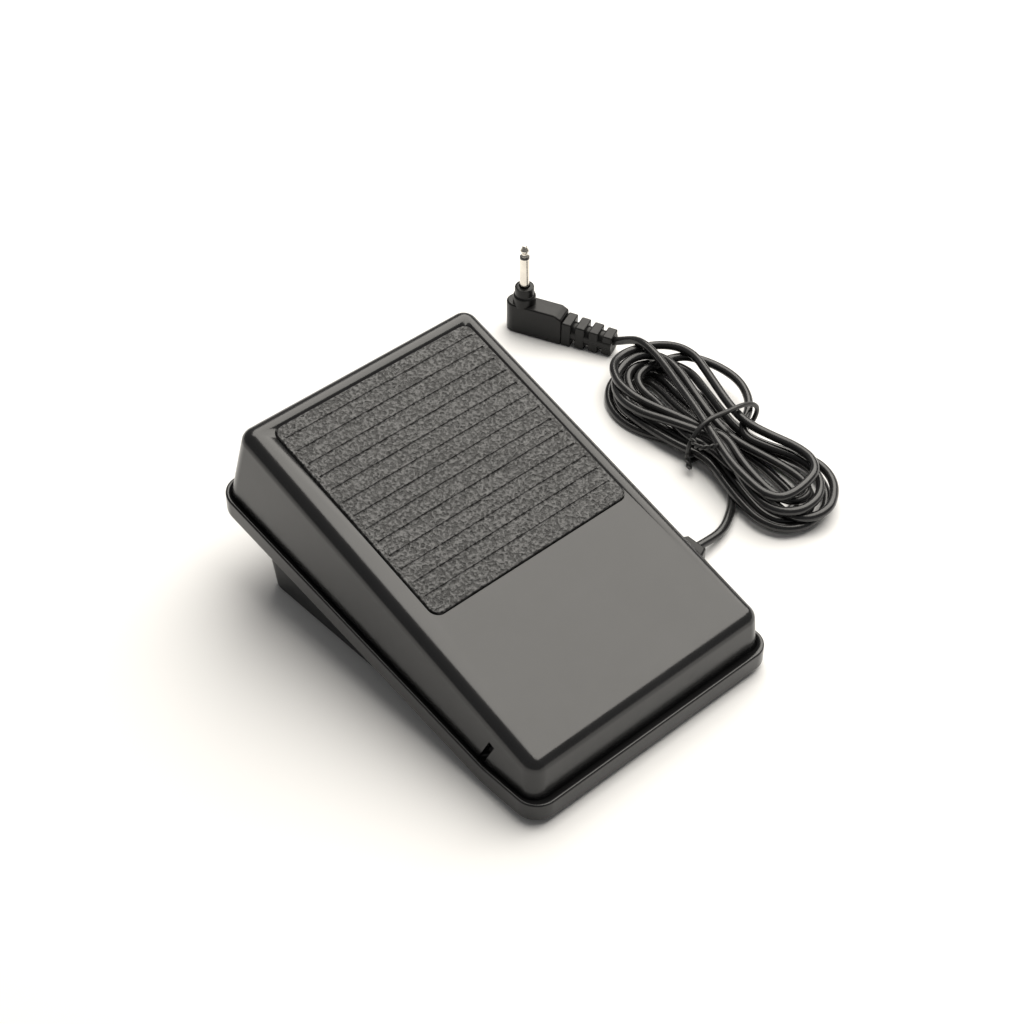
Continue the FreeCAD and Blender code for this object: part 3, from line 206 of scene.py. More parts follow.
def panel_plastic():
    """Pebbled plastic of the tread panel: painted shade in the hollows and painted highlights on
    the high spots, following the pebbles' bump.
    """
    colour = tuple(bpy.context.scene.foot_control_finish.panel_colour)
    recipe = Recipe("panel_plastic")
    pebbles = recipe.noise(1.05 * MM, detail=2, roughness=0.55)
    crackle = recipe.noise(0.7 * MM, detail=3, roughness=0.6)
    worn = recipe.noise(16 * MM, detail=3)
    # Painted shade and painted highlight: the colour runs dark in the pebbles' hollows and bright
    # on their tops, on the same pattern as the bump below.
    tone = recipe.tint(pebbles, shade(colour, 0.15), shade(colour, 5.0), 0.44, 0.62)
    dull = recipe.spread(worn, 0.4, 0.5)
    normal = recipe.bump(crackle, 0.12 * MM)
    normal = recipe.bump(pebbles, 0.8 * MM, below=normal)
    return recipe.finish(tone, dull, normal)


def cord_sheath():
    """Smooth flexible sheath with faint drawing marks and a soft sheen."""
    colour = tuple(bpy.context.scene.foot_control_finish.cord_colour)
    recipe = Recipe("cord_sheath")
    drawn = recipe.noise(9 * MM, detail=4)
    fine = recipe.noise(0.4 * MM, detail=2)
    tone = recipe.tint(drawn, shade(colour, 0.8), shade(colour, 1.3))
    dull = recipe.spread(drawn, 0.2, 0.28)
    return recipe.finish(tone, dull, recipe.bump(fine, 0.012 * MM))


def moulded_pvc():
    """Satin black of the plug and the strain relief."""
    return moulded("moulded_pvc", (0.009, 0.009, 0.009), 0.3, 0.5 * MM, 0.008 * MM, 0.24)


def soft_rubber():
    """Matt rubber of the feet and stop pads, with a dusty bloom."""
    return moulded("soft_rubber", (0.032, 0.032, 0.033), 0.78, 0.5 * MM, 0.05 * MM)


def tie_coating():
    """Thin black coating on the tie wire."""
    return moulded("tie_coating", (0.02, 0.02, 0.02), 0.38, 0.4 * MM, 0.02 * MM)


def metal(name, colour, roughness, stretch):
    """Metal with fine marks stretched along one direction."""
    recipe = Recipe(name)
    marks = recipe.noise(0.3 * MM, detail=5, roughness=0.6, place=recipe.stretched(stretch))
    cloud = recipe.noise(5 * MM, detail=3)
    tone = recipe.tint(cloud, shade(colour, 0.9), shade(colour, 1.06))
    dull = recipe.spread(marks, roughness - 0.06, roughness + 0.1)
    return recipe.finish(tone, dull, recipe.bump(marks, 0.004 * MM), Metallic=1.0)


def nickel_plate():
    """Bright nickel of the jack, turned marks running round it."""
    return metal("nickel_plate", (0.72, 0.68, 0.61), 0.2, (0.25, 0.25, 3.0))


def zinc_steel():
    """Zinc-plated steel of the bracket, screws and fork."""
    return metal("zinc_steel", (0.55, 0.55, 0.54), 0.34, (1.0, 0.2, 1.0))


def black_steel():
    """Oil-blackened steel of the hinge pin."""
    return metal("black_steel", (0.035, 0.035, 0.038), 0.4, (0.2, 1.0, 1.0))


def spring_steel():
    """Drawn spring wire."""
    return metal("spring_steel", (0.42, 0.42, 0.43), 0.3, (1.0, 1.0, 0.3))


def sensor_metal():
    """Plain can of the potentiometer and its shaft."""
    return metal("sensor_metal", (0.66, 0.66, 0.65), 0.32, (0.2, 1.0, 1.0))


def arm_plastic():
    """Off-white acetal of the sensor arm."""
    return moulded("arm_plastic", (0.72, 0.70, 0.64), 0.42, 0.5 * MM, 0.02 * MM)


def component_plastic():
    """Dark moulded bodies on the board and the jack's ring."""
    return moulded("component_plastic", (0.012, 0.012, 0.013), 0.4, 0.4 * MM, 0.01 * MM)


def board_lacquer():
    """Green lacquer over a woven laminate."""
    recipe = Recipe("board_lacquer")
    weave = recipe.node("TexWave", Scale=260.0, Distortion=0.6, Detail=2.0)
    recipe.link(recipe.place, weave.inputs["Vector"])
    cloud = recipe.noise(7 * MM, detail=3)
    tone = recipe.tint(cloud, (0.012, 0.075, 0.03), (0.02, 0.12, 0.045))
    dull = recipe.spread(cloud, 0.22, 0.32)
    return recipe.finish(tone, dull, recipe.bump(weave.outputs["Fac"], 0.02 * MM))


MATERIALS = {}


def material(make):
    """Each material is made once."""
    if make.__name__ not in MATERIALS:
        MATERIALS[make.__name__] = make()
    return MATERIALS[make.__name__]


# ---------------------------------------------------------------- object helpers
# Points nearer than this are one point, in a new mesh and in a copy of a CAD node's mesh.
MERGE = 0.002 * MM
CAD_MERGE = 0.001 * MM
# Edges of a CAD node that turn by more than this many degrees stay sharp.
CAD_SHARP = 30.0


def coat(piece, make):
    """Give a piece, or a CAD node, one material all over."""
    piece.data.materials.clear()
    piece.data.materials.append(material(make))
    return piece


def add_object(name, data):
    """An object in the scene that shows some data."""
    made = bpy.data.objects.new(name, data)
    bpy.context.scene.collection.objects.link(made)
    return made


def mesh_object(name, shape):
    """Turn a bmesh into an object, with its normals outward."""
    bmesh.ops.remove_doubles(shape, verts=shape.verts, dist=MERGE)
    bmesh.ops.recalc_face_normals(shape, faces=shape.faces)
    data = bpy.data.meshes.new(name)
    shape.to_mesh(data)
    shape.free()
    return add_object(name, data)


def bevel(piece, width, segments=3, angle=30.0):
    """Round the sharp edges of a piece."""
    modifier = piece.modifiers.new("bevel", "BEVEL")
    modifier.width = width
    modifier.segments = segments
    modifier.limit_method = "ANGLE"
    modifier.angle_limit = math.radians(angle)
    modifier.harden_normals = False


def bake(piece):
    """Apply a piece's modifiers: its evaluated shape becomes its plain mesh."""
    bpy.context.view_layer.update()
    seen = piece.evaluated_get(bpy.context.evaluated_depsgraph_get())
    plain = bpy.data.meshes.new_from_object(seen)
    piece.modifiers.clear()
    piece.data = plain
    return piece


def smooth(piece, angle=35.0):
    """Shade smoothly with flat faces kept flat, and edges sharper than the angle kept sharp."""
    piece.data.shade_smooth()
    piece.data.set_sharp_from_angle(angle=math.radians(angle))
    weigh = piece.modifiers.new("flat faces", "WEIGHTED_NORMAL")
    weigh.mode = "FACE_AREA"
    weigh.weight = 100
    weigh.keep_sharp = True
    return bake(piece)


def settle(piece, body, slot, *nodes):
    """Let a finished piece ride on a body and stand for CAD nodes, which it hides. The slot is
    not used.
    """
    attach(piece, body)
    if nodes:
        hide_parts(*nodes)
    return piece


def smooth_copy(node, name, body, slot, make):
    """A copy of a CAD node with its facets merged and shaded smoothly."""
    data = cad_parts[node].data.copy()
    shape = bmesh.new()
    shape.from_mesh(data)
    bmesh.ops.remove_doubles(shape, verts=shape.verts, dist=CAD_MERGE)
    shape.to_mesh(data)
    shape.free()
    data.validate()
    copy = smooth(add_object(name, data), CAD_SHARP)
    coat(copy, make)
    return settle(copy, body, slot, node)


# ---------------------------------------------------------------- geometry node helpers
class Grower:
    """A geometry node tree under construction, with named inputs."""

    def __init__(self, name, inputs):
        self.tree = bpy.data.node_groups.new(name, "GeometryNodeTree")
        face = self.tree.interface
        face.new_socket("Geometry", in_out="INPUT", socket_type="NodeSocketGeometry")
        self.keys = {}
        for label, kind in inputs.items():
            socket = face.new_socket(label, in_out="INPUT", socket_type="NodeSocket" + kind)
            self.keys[label] = socket.identifier
        face.new_socket("Geometry", in_out="OUTPUT", socket_type="NodeSocketGeometry")
        self.start = self.tree.nodes.new("NodeGroupInput")
        self.end = self.tree.nodes.new("NodeGroupOutput")

    def node(self, kind, **inputs):
        """Add a node; an input is a value or another node's output."""
        made = self.tree.nodes.new(kind)
        for name, value in inputs.items():
            self.feed(value, made.inputs[name.replace("_", " ")])
        return made

    def feed(self, value, socket):
        """Link an output to a socket, or set the socket to a value."""
        if isinstance(value, bpy.types.NodeSocket):
            self.tree.links.new(value, socket)
        else:
            socket.default_value = value

    def given(self, label):
        """The outside value of a named input."""
        return self.start.outputs[label]

    def close(self, geometry):
        """End the tree: realize the instances and set the material."""
        real = self.node("GeometryNodeRealizeInstances", Geometry=geometry)
        painted = self.node("GeometryNodeSetMaterial", Geometry=real.outputs[0],
                            Material=self.given("Material"))
        self.tree.links.new(painted.outputs[0], self.end.inputs["Geometry"])

    def grow(self, piece, **values):
        """Run the tree on a piece and keep the plain mesh it makes."""
        modifier = piece.modifiers.new(self.tree.name, "NODES")
        modifier.node_group = self.tree
        for label, value in values.items():
            modifier[self.keys[label.replace("_", " ")]] = value
        return bake(piece)


# ---------------------------------------------------------------- stage
VIEW_AZIMUTH = -42.19
VIEW_ELEVATION = 43.21
EYE = mm(-316.2, -358.0, 492.5)
LENS = 75.86
SENSOR_WIDTH = 36.0
# The one softbox: where it stands as seen from the object, how far and wide, how bright.
LIT_PLACE = mm(40, 0, 20)
LIGHT_TOWARD = (0.46, 0.16, 0.86)
LIGHT_DISTANCE = 1.2
LIGHT_SIZE = 1.5
LIGHT_RADIANCE = 4.5
LIGHT_COLOUR = (1.0, 0.962, 0.895)
SURROUND_COLOUR = (1.0, 0.995, 0.985, 1)
SURROUND_STRENGTH = 0.2


def add_camera():
    """The camera, looking down along the view's direction."""
    turn, rise = math.radians(VIEW_AZIMUTH), math.radians(VIEW_ELEVATION)
    back = Vector((math.sin(turn) * math.cos(rise), -math.cos(turn) * math.cos(rise),
                   math.sin(rise)))
    camera = bpy.data.cameras.new("camera")
    camera.lens = LENS
    camera.sensor_width = SENSOR_WIDTH
    holder = add_object("camera", camera)
    holder.location = EYE
    holder.rotation_mode = "QUATERNION"
    holder.rotation_quaternion = (-back).to_track_quat("-Z", "Y")
    bpy.context.scene.camera = holder


def add_softbox():
    """A square soft light that faces the object."""
    lamp = bpy.data.lights.new("overhead", "AREA")
    lamp.shape = "SQUARE"
    lamp.size = LIGHT_SIZE
    lamp.energy = LIGHT_RADIANCE * math.pi * LIGHT_SIZE * LIGHT_SIZE
    lamp.color = LIGHT_COLOUR
    holder = add_object("overhead", lamp)
    away = Vector(LIGHT_TOWARD).normalized()
    holder.location = LIT_PLACE + away * LIGHT_DISTANCE
    holder.rotation_mode = "QUATERNION"
    holder.rotation_quaternion = away.to_track_quat("Z", "Y")


def add_floor():
    """A wide pale floor."""
    shape = bmesh.new()
    bmesh.ops.create_grid(shape, x_segments=4, y_segments=4, size=3.0)
    floor = mesh_object("floor", shape)
    recipe = Recipe("floor_paper")
    cloud = recipe.noise(0.25, detail=2)
    tone = recipe.tint(cloud, (0.885, 0.883, 0.88), (0.9, 0.899, 0.897))
    floor.data.materials.append(recipe.finish(tone, Roughness=0.85))


class SCENE_OT_foot_control_stage(bpy.types.Operator):
    """Add the floor, the softbox and the camera"""
    bl_idname = "scene.foot_control_stage"
    bl_label = "Stage"

    def execute(self, context):
        add_camera()
        add_floor()
        add_softbox()
        world = bpy.data.worlds.new("studio")
        world.use_nodes = True
        surround = world.node_tree.nodes["Background"]
        surround.inputs["Color"].default_value = SURROUND_COLOUR
        surround.inputs["Strength"].default_value = SURROUND_STRENGTH
        context.scene.world = world
        context.scene.view_settings.view_transform = "Standard"
        return {"FINISHED"}


# ---------------------------------------------------------------- cord
# Centre of the cord, in millimetres: from the strain relief to under the tied middle of the hank.
LEAD_ROUTE = [
    (65.6, -26.0, 4.8), (79.5, -25.0, 2.4), (93.0, -16.8, 1.7), (101.8, -3.5, 1.7),
    (104.8, 6.0, 1.6), (99.0, 16.5, 1.6),
]
# From the top of the tied middle, over the far lobe's end and down into the plug's sleeve.
TAIL_ROUTE = [
    (104.0, 7.0, 11.0), (108.2, 17.0, 11.4), (113.0, 29.8, 11.8), (117.0, 39.6, 11.8),
    (119.8, 48.5, 12.2), (120.8, 55.5, 12.2), (121.2, 61.0, 10.0), (120.6, 66.0, 5.8),
    (119.2, 69.3, 4.5), (118.0, 71.8, 4.5),
]
# One turn of the hank: the outermost place of the strand, then its place near the middle of the
# lobe, station by station round the turn.
TURN_STATIONS = [
    (100.5, 2.0, 109.0, 2.0), (97.5, 12.0, 106.5, 12.5), (95.0, 22.0, 107.5, 23.0),
    (93.0, 32.0, 109.0, 33.0), (94.5, 43.0, 108.5, 41.0), (100.5, 52.0, 111.0, 46.0),
    (110.0, 57.5, 113.0, 47.5), (120.5, 57.0, 115.0, 45.5), (128.5, 50.5, 113.5, 39.5),
    (130.5, 40.0, 110.5, 32.0), (126.5, 26.5, 108.5, 22.5), (121.5, 12.0, 109.5, 11.0),
    (118.5, 1.0, 109.5, 1.0), (121.5, -11.0, 110.0, -9.0), (126.5, -22.0, 109.0, -18.5),
    (124.5, -33.0, 108.5, -26.5), (117.0, -41.0, 107.5, -30.0), (107.0, -44.5, 104.0, -31.5),
    (96.5, -43.0, 101.0, -29.5), (91.0, -34.0, 102.5, -24.5), (92.5, -22.0, 104.0, -16.0),
    (96.0, -10.0, 105.0, -7.5),
]
# Where the strand lies at each anchor station, turn by turn: how far inward, and how high.
ANCHORS = (0, 3.5, 6.5, 9, 12, 15, 17, 19.5)
STRANDS = [
    [(0.45, 1.6), (0.00, 1.6), (0.10, 1.6), (0.34, 1.6),
     (0.00, 1.6), (0.22, 1.6), (0.22, 1.6), (0.00, 1.6)],
    [(0.00, 1.6), (0.24, 1.6), (0.36, 1.6), (0.58, 1.6),
     (0.36, 1.6), (0.54, 1.6), (0.48, 1.6), (0.27, 1.6)],
    [(0.43, 1.6), (0.48, 1.6), (0.62, 1.6), (0.82, 1.6),
     (0.72, 1.6), (0.92, 1.8), (0.82, 1.8), (0.54, 1.6)],
    [(0.86, 1.8), (0.72, 1.8), (0.46, 4.6), (0.10, 4.8),
     (0.14, 4.8), (0.04, 4.2), (0.02, 4.0), (0.92, 1.8)],
    [(0.10, 4.8), (0.94, 2.6), (0.72, 4.8), (0.00, 5.4),
     (0.50, 4.8), (0.34, 5.0), (0.34, 5.0), (0.12, 4.8)],
    [(0.53, 4.8), (0.10, 4.8), (0.22, 4.8), (0.52, 8.6),
     (0.86, 5.0), (0.72, 5.2), (0.60, 5.4), (0.60, 5.0)],
    [(0.60, 7.4), (0.30, 7.8), (0.00, 7.6), (0.02, 10.4),
     (0.18, 9.8), (0.42, 11.6), (0.75, 11.8), (0.25, 11.2)],
    [(0.10, 10.6)],
]
# Where one strand bulges loose from the hank's side: turn, station and its place.
LOOSE_LOOP = {
    (4, 8): (130.0, 46.0, 5.6), (4, 9): (134.7, 34.0, 5.8), (4, 10): (134.8, 21.0, 5.8),
    (4, 11): (128.5, 9.5, 5.6),
}
# The lobes' strands wander this far sideways. It fades to nothing at the tied middle.
WANDER = 0.5
LOBE_START = 4
LOBE_DEPTH = 30


def strand_at(turn, station):
    """How far inward and how high the strand lies at a station, between its two anchors."""
    stops = list(zip(ANCHORS, STRANDS[turn]))
    if turn + 1 < len(STRANDS):
        stops.append((len(TURN_STATIONS), STRANDS[turn + 1][0]))
    for (before, low), (after, high) in zip(stops, stops[1:]):
        if before <= station <= after:
            share = (station - before) / (after - before)
            share = share * share * (3 - 2 * share)
            return [a + (b - a) * share for a, b in zip(low, high)]
    return stops[0][1]


def hank_turns():
    """Centre points of the wound turns, loose at the lobes and tight at the tie."""
    points = []
    for turn in range(len(STRANDS) - 1):
        for station, (out_x, out_y, in_x, in_y) in enumerate(TURN_STATIONS):
            if turn == 0 and station < 2:
                continue
            if (turn, station) in LOOSE_LOOP:
                points.append(LOOSE_LOOP[turn, station])
                continue
            inward, height = strand_at(turn, station)
            x = out_x + (in_x - out_x) * inward
            y = out_y + (in_y - out_y) * inward
            loose = min(1.0, abs(y - LOBE_START) / LOBE_DEPTH)
            x += WANDER * loose * math.sin(2.1 * turn + 0.9 * station)
            y += WANDER * loose * math.cos(1.7 * turn + 1.3 * station)
            points.append((x, y, height))
    return points


# How the strands settle against one another, in millimetres along and round the cord.
CORD_STEP = 2.5
CORD_RADIUS = 1.6
SETTLING_ROUNDS = 260
# Nearer along the cord than this, two points belong to one strand and don't push.
OWN_STRAND = 14
# So many points at each end stay where they are, and so many more come loose by degrees.
HELD_POINTS = 12
LOOSENING_POINTS = 8
# A later strand goes up by this much of the way when it is pushed off an earlier one.
UPWARD_BIAS = 0.4
LEAST_GAP = 0.05
PUSH_SHARE = 0.9
SMOOTHING_SHARE = 0.35
HANK_REACH = 134.8
HANK_TOP = 14.6
# The strands lie this much higher over this width where the tie passes under them.
TIE_Y = 6.7
TIE_LIFT = 1.5
TIE_LIFT_WIDTH = 9


def even_steps(route):
    """The route as points an even step apart."""
    route = np.array(route, float)
    gone = np.append(0, np.cumsum(np.linalg.norm(np.diff(route, axis=0), axis=1)))
    stops = np.linspace(0, gone[-1], round(gone[-1] / CORD_STEP))
    return np.stack([np.interp(stops, gone, route[:, axis]) for axis in range(3)], axis=1)


def averaged(values, reach=3):
    """Each row averaged with its neighbours along the cord."""
    padded = np.pad(values, ((reach, reach), (0, 0)), mode="edge")
    return sum(padded[k:k + len(values)] for k in range(2 * reach + 1)) / (2 * reach + 1)


def settled(route):
    """Push the strands apart until each lies beside or over the next, as real turns do."""
    spots = averaged(even_steps(route), 2)
    spots[0], spots[-1] = route[0], route[-1]
    laid = spots.copy()
    count = len(spots)
    order = np.arange(count)
    apart = np.abs(order[:, None] - order[None]) * CORD_STEP > OWN_STRAND
    later = np.sign(order[:, None] - order[None])
    inner = np.minimum(order - HELD_POINTS, count - HELD_POINTS - order)
    free = np.clip(inner / LOOSENING_POINTS, 0, 1)[:, None]
    gap = 2 * CORD_RADIUS
    for _ in range(SETTLING_ROUNDS):
        between = spots[:, None] - spots[None]
        between[..., 2] += UPWARD_BIAS * later
        distance = np.linalg.norm(spots[:, None] - spots[None], axis=2)
        short = np.where(apart, np.clip(gap - distance, 0, None), 0)
        way = between / np.maximum(np.linalg.norm(between, axis=2), LEAST_GAP)[..., None]
        push = (way * short[..., None]).sum(1)
        touching = np.maximum((short > 0).sum(1), 1)[:, None]
        spots += free * averaged(PUSH_SHARE * push / touching)
        moved = spots - laid
        spots += free * SMOOTHING_SHARE * (averaged(moved) - moved)
        spots[:, 0] = np.minimum(spots[:, 0], HANK_REACH)
        lift = TIE_LIFT * np.exp(-((spots[:, 1] - TIE_Y) / TIE_LIFT_WIDTH) ** 2)
        spots[:, 2] = np.clip(spots[:, 2], CORD_RADIUS + lift, HANK_TOP)
    return spots


class OBJECT_OT_foot_control_cord(bpy.types.Operator):
    """Build the cord: its lead, the wound hank and the tail to the plug, as one curve"""
    bl_idname = "object.foot_control_cord"
    bl_label = "Cord"

    def execute(self, context):
        diameter = context.scene.foot_control_sizes.cord_diameter
        route = settled(LEAD_ROUTE + hank_turns() + TAIL_ROUTE)
        curve = bpy.data.curves.new("control_cord", "CURVE")
        curve.dimensions = "3D"
        spline = curve.splines.new("NURBS")
        spline.points.add(len(route) - 1)
        for point, spot in zip(spline.points, route):
            point.co = (*mm(*spot), 1)
        spline.order_u = 3
        spline.use_endpoint_u = True
        spline.resolution_u = 2
        curve.bevel_depth = diameter / 2
        curve.bevel_resolution = 5
        curve.use_fill_caps = True
        cord = coat(add_object("control_cord", curve), cord_sheath)
        settle(cord, "base", "cord_rubber", "cord_lead", "cord_hank", "cord_tail")
        return {"FINISHED"}


# ---------------------------------------------------------------- tie
# The wire's loop round the hank, and the two ends twisted together, in millimetres.
TIE_LOOP = [
    (95.4, 7.6, 5.0), (96.2, 7.6, 9.4), (99.2, 7.4, 13.4), (103.6, 7.2, 15.8),
    (108.5, 7.0, 15.4), (114.0, 6.7, 14.4), (119.8, 6.3, 14.0), (125.0, 6.0, 12.0),
    (128.0, 5.8, 9.0), (127.6, 5.8, 5.2), (124.4, 5.9, 1.6), (119.0, 6.1, 0.9),
    (112.0, 6.5, 0.9), (105.0, 6.9, 0.9), (99.0, 7.3, 0.9), (95.8, 7.6, 1.8),
]
TIE_TOP_END = [
    (97.0, 7.4, 11.4), (95.4, 4.2, 11.4), (95.4, 1.0, 12.4), (97.0, -1.6, 13.6),
    (99.4, -2.8, 14.0),
]
TIE_SIDE_END = [
    (95.4, 7.4, 5.4), (93.6, 5.6, 4.2), (92.8, 3.2, 2.4),
]
TWIST_PITCH = 4.5 * MM
TWIST_RADIUS = 0.55 * MM
TWIST_WIRE_RADIUS = 0.5 * MM


def wire_mesh(name, points, radius, closed=False):
    """A round wire along a smooth curve, as a mesh."""
    curve = bpy.data.curves.new(name, "CURVE")
    curve.dimensions = "3D"
    spline = curve.splines.new("NURBS")
    spline.points.add(len(points) - 1)
    for point, spot in zip(spline.points, points):
        point.co = (*spot, 1)
    spline.order_u = 3
    spline.use_cyclic_u = closed
    spline.use_endpoint_u = not closed
    spline.resolution_u = 5
    curve.bevel_depth = radius
    curve.bevel_resolution = 3
    curve.use_fill_caps = True
    wire = add_object(name, curve)
    bpy.context.view_layer.update()
    data = bpy.data.meshes.new_from_object(
        wire.evaluated_get(bpy.context.evaluated_depsgraph_get()))
    bpy.data.objects.remove(wire)
    return data


def twisted(points, pitch, radius, phase):
    """Points of one strand of a twisted pair that follows a path."""
    strand = []
    gone = 0.0
    for start, end in zip(points, points[1:]):
        run = end - start
        steps = max(2, round(run.length / (pitch / 8)))
        side = run.cross(Vector((0, 0, 1))).normalized()
        over = side.cross(run).normalized()
        for step in range(steps):
            angle = phase + 2 * math.pi * (gone + run.length * step / steps) / pitch
            centre = start + run * (step / steps)
            strand.append(centre + (side * math.cos(angle) + over * math.sin(angle)) * radius)
        gone += run.length
    return strand


def joined(name, meshes):
    """Several meshes as one object."""
    shape = bmesh.new()
    for data in meshes:
        shape.from_mesh(data)
    return mesh_object(name, shape)


class OBJECT_OT_foot_control_tie(bpy.types.Operator):
    """Tie the hank with a coated wire whose ends are twisted together"""
    bl_idname = "object.foot_control_tie"
    bl_label = "Hank tie"

    def execute(self, context):
        thick = context.scene.foot_control_sizes.tie_diameter
        loops = [wire_mesh("loop", [mm(*spot) for spot in TIE_LOOP], thick / 2, closed=True)]
        for path in (TIE_TOP_END, TIE_SIDE_END):
            points = [mm(*spot) for spot in path]
            for phase in (0.0, math.pi):
                strand = twisted(points, TWIST_PITCH, TWIST_RADIUS, phase)
                loops.append(wire_mesh("end", strand, TWIST_WIRE_RADIUS))
        tie = smooth(joined("hank_tie", loops), 60)
        coat(tie, tie_coating)
        settle(tie, "base", "tie_plastic", "cord_tie")
        return {"FINISHED"}


# ---------------------------------------------------------------- plug
JACK_FOOT = mm(105.5, 100.5, 0)
PLUG_TURN = math.radians(-66.4)
PLUG_BACK = 2.7
PLUG_LENGTH = 16.0
PLUG_HEIGHT = 12.4
PLUG_LOW_END = 11.0
PLUG_SLOPE_START = 13.5
PLUG_HALF_WIDTH = 4.0
PLUG_EDGE = 0.7 * MM
# The collar round the jack's foot, in two steps, as radius and height.
COLLAR_PROFILE = [
    (0, 11.4), (4.2, 11.4), (4.2, 15.0), (4.0, 15.6), (3.55, 15.9), (3.55, 18.7), (3.4, 19.2),
    (3.0, 19.4), (2.1, 19.4), (1.85, 19.0), (1.85, 18.0), (0, 18.0),
]


def plug_place():
    """Carries a piece made along +X from the jack's axis to the plug's direction."""
    return Matrix.Translation(JACK_FOOT) @ Matrix.Rotation(PLUG_TURN, 4, "Z")


def lathe(shape, profile, steps=40):
    """Turn a closed profile of (radius, height) pairs round Z."""
    rings = []
    for radius, height in profile:
        if radius < 1e-6:
            rings.append([shape.verts.new((0, 0, height * MM))])
            continue
        ring = []
        for step in range(steps):
            angle = 2 * math.pi * step / steps
            ring.append(shape.verts.new((radius * MM * math.cos(angle),
                                         radius * MM * math.sin(angle), height * MM)))
        rings.append(ring)
    for low, high in zip(rings, rings[1:]):
        for step in range(steps):
            after = (step + 1) % steps
            corners = [low[step % len(low)], low[after % len(low)],
                       high[after % len(high)], high[step % len(high)]]
            corners = list(dict.fromkeys(corners))
            if len(corners) > 2:
                shape.faces.new(corners)


def plug_outline():
    """Plan of the body: a half round under the jack, then straight sides."""
    around = 16
    spots = [(PLUG_LENGTH, -PLUG_HALF_WIDTH), (PLUG_LENGTH, PLUG_HALF_WIDTH),
             (PLUG_SLOPE_START, PLUG_HALF_WIDTH)]
    for step in range(around + 1):
        angle = math.pi * (0.5 + step / around)
        spots.append((PLUG_HALF_WIDTH * math.cos(angle) - PLUG_BACK,
                      PLUG_HALF_WIDTH * math.sin(angle)))
    spots.append((PLUG_SLOPE_START, -PLUG_HALF_WIDTH))
    return spots


def plug_body_shape():
    """The body's closed shell, flat on top and sloping down to the cord."""
    shape = bmesh.new()
    outline = plug_outline()
    low = [shape.verts.new(mm(x, y, 0)) for x, y in outline]
    high = [shape.verts.new(mm(x, y, PLUG_LOW_END if x > PLUG_SLOPE_START else PLUG_HEIGHT))
            for x, y in outline]
    count = len(outline)
    for i in range(count):
        after = (i + 1) % count
        shape.faces.new([low[i], low[after], high[after], high[i]])
    shape.faces.new(low)
    shape.faces.new([high[-1], high[0], high[1], high[2]])
    shape.faces.new(high[2:])
    return shape


class OBJECT_OT_foot_control_plug(bpy.types.Operator):
    """Build the right-angle plug's body with its collar"""
    bl_idname = "object.foot_control_plug"
    bl_label = "Plug body"

    def execute(self, context):
        body = mesh_object("plug_body_blank", plug_body_shape())
        bevel(body, PLUG_EDGE, segments=4, angle=25)
        bake(body)
        collar = bmesh.new()
        lathe(collar, COLLAR_PROFILE)
        ring = mesh_object("plug_collar_blank", collar)
        shell = joined("plug_shell", [body.data, ring.data])
        bpy.data.objects.remove(body)
        bpy.data.objects.remove(ring)
        shell.data.transform(plug_place())
        coat(smooth(shell, 40), moulded_pvc)
        settle(shell, "base", "cord_rubber", "plug_body")
        for node in ("jack_sleeve", "jack_tip"):
            coat(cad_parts[node], nickel_plate)
        coat(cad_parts["jack_ring"], component_plastic)
        return {"FINISHED"}


def rib_tree():
    """Ribs in a row on a round core, each a little smaller than the one before."""
    grower = Grower("sleeve_ribs", {"Ribs": "Int", "Pitch": "Float", "Core": "Float",
                                    "Length": "Float", "Shrink": "Float",
                                    "Material": "Material"})
    step = grower.node("ShaderNodeCombineXYZ", X=grower.given("Pitch"))
    row = grower.node("GeometryNodeMeshLine", Count=grower.given("Ribs"),
                      Offset=step.outputs[0])
    index = grower.node("GeometryNodeInputIndex")
    lost = grower.tree.nodes.new("ShaderNodeMath")
    lost.operation = "MULTIPLY_ADD"
    grower.feed(index.outputs[0], lost.inputs[0])
    grower.feed(grower.given("Shrink"), lost.inputs[1])
    lost.inputs[2].default_value = 1.0
    size = grower.node("ShaderNodeCombineXYZ", X=1.0, Y=lost.outputs[0], Z=lost.outputs[0])
    ribs = grower.node("GeometryNodeInstanceOnPoints", Points=row.outputs["Mesh"],
                       Instance=grower.given("Geometry"), Scale=size.outputs[0])
    core = grower.node("GeometryNodeMeshCylinder", Vertices=32, Radius=grower.given("Core"),
                       Depth=grower.given("Length"))
    half = grower.tree.nodes.new("ShaderNodeMath")
    half.operation = "MULTIPLY"
    grower.feed(grower.given("Length"), half.inputs[0])
    half.inputs[1].default_value = 0.5
    shift = grower.node("ShaderNodeCombineXYZ", X=half.outputs[0])
    laid = grower.node("GeometryNodeTransform", Geometry=core.outputs["Mesh"],
                       Translation=shift.outputs[0], Rotation=(0, math.pi / 2, 0))
    both = grower.tree.nodes.new("GeometryNodeJoinGeometry")
    grower.feed(ribs.outputs[0], both.inputs[0])
    grower.feed(laid.outputs[0], both.inputs[0])
    grower.close(both.outputs[0])
    return grower


SLEEVE_LENGTH = 19.4 * MM
SLEEVE_CORE_RADIUS = 3.5 * MM
SLEEVE_HEIGHT = 5.1
SLEEVE_DIP = math.radians(1.7)
RIB_THICKNESS = 3.7 * MM
RIB_WIDTH = 7.7 * MM
RIB_HEIGHT = 10.0 * MM
RIB_EDGE = 0.6 * MM
# Each rib's width and height change by this share from one to the next.
RIB_SHRINK = -0.06


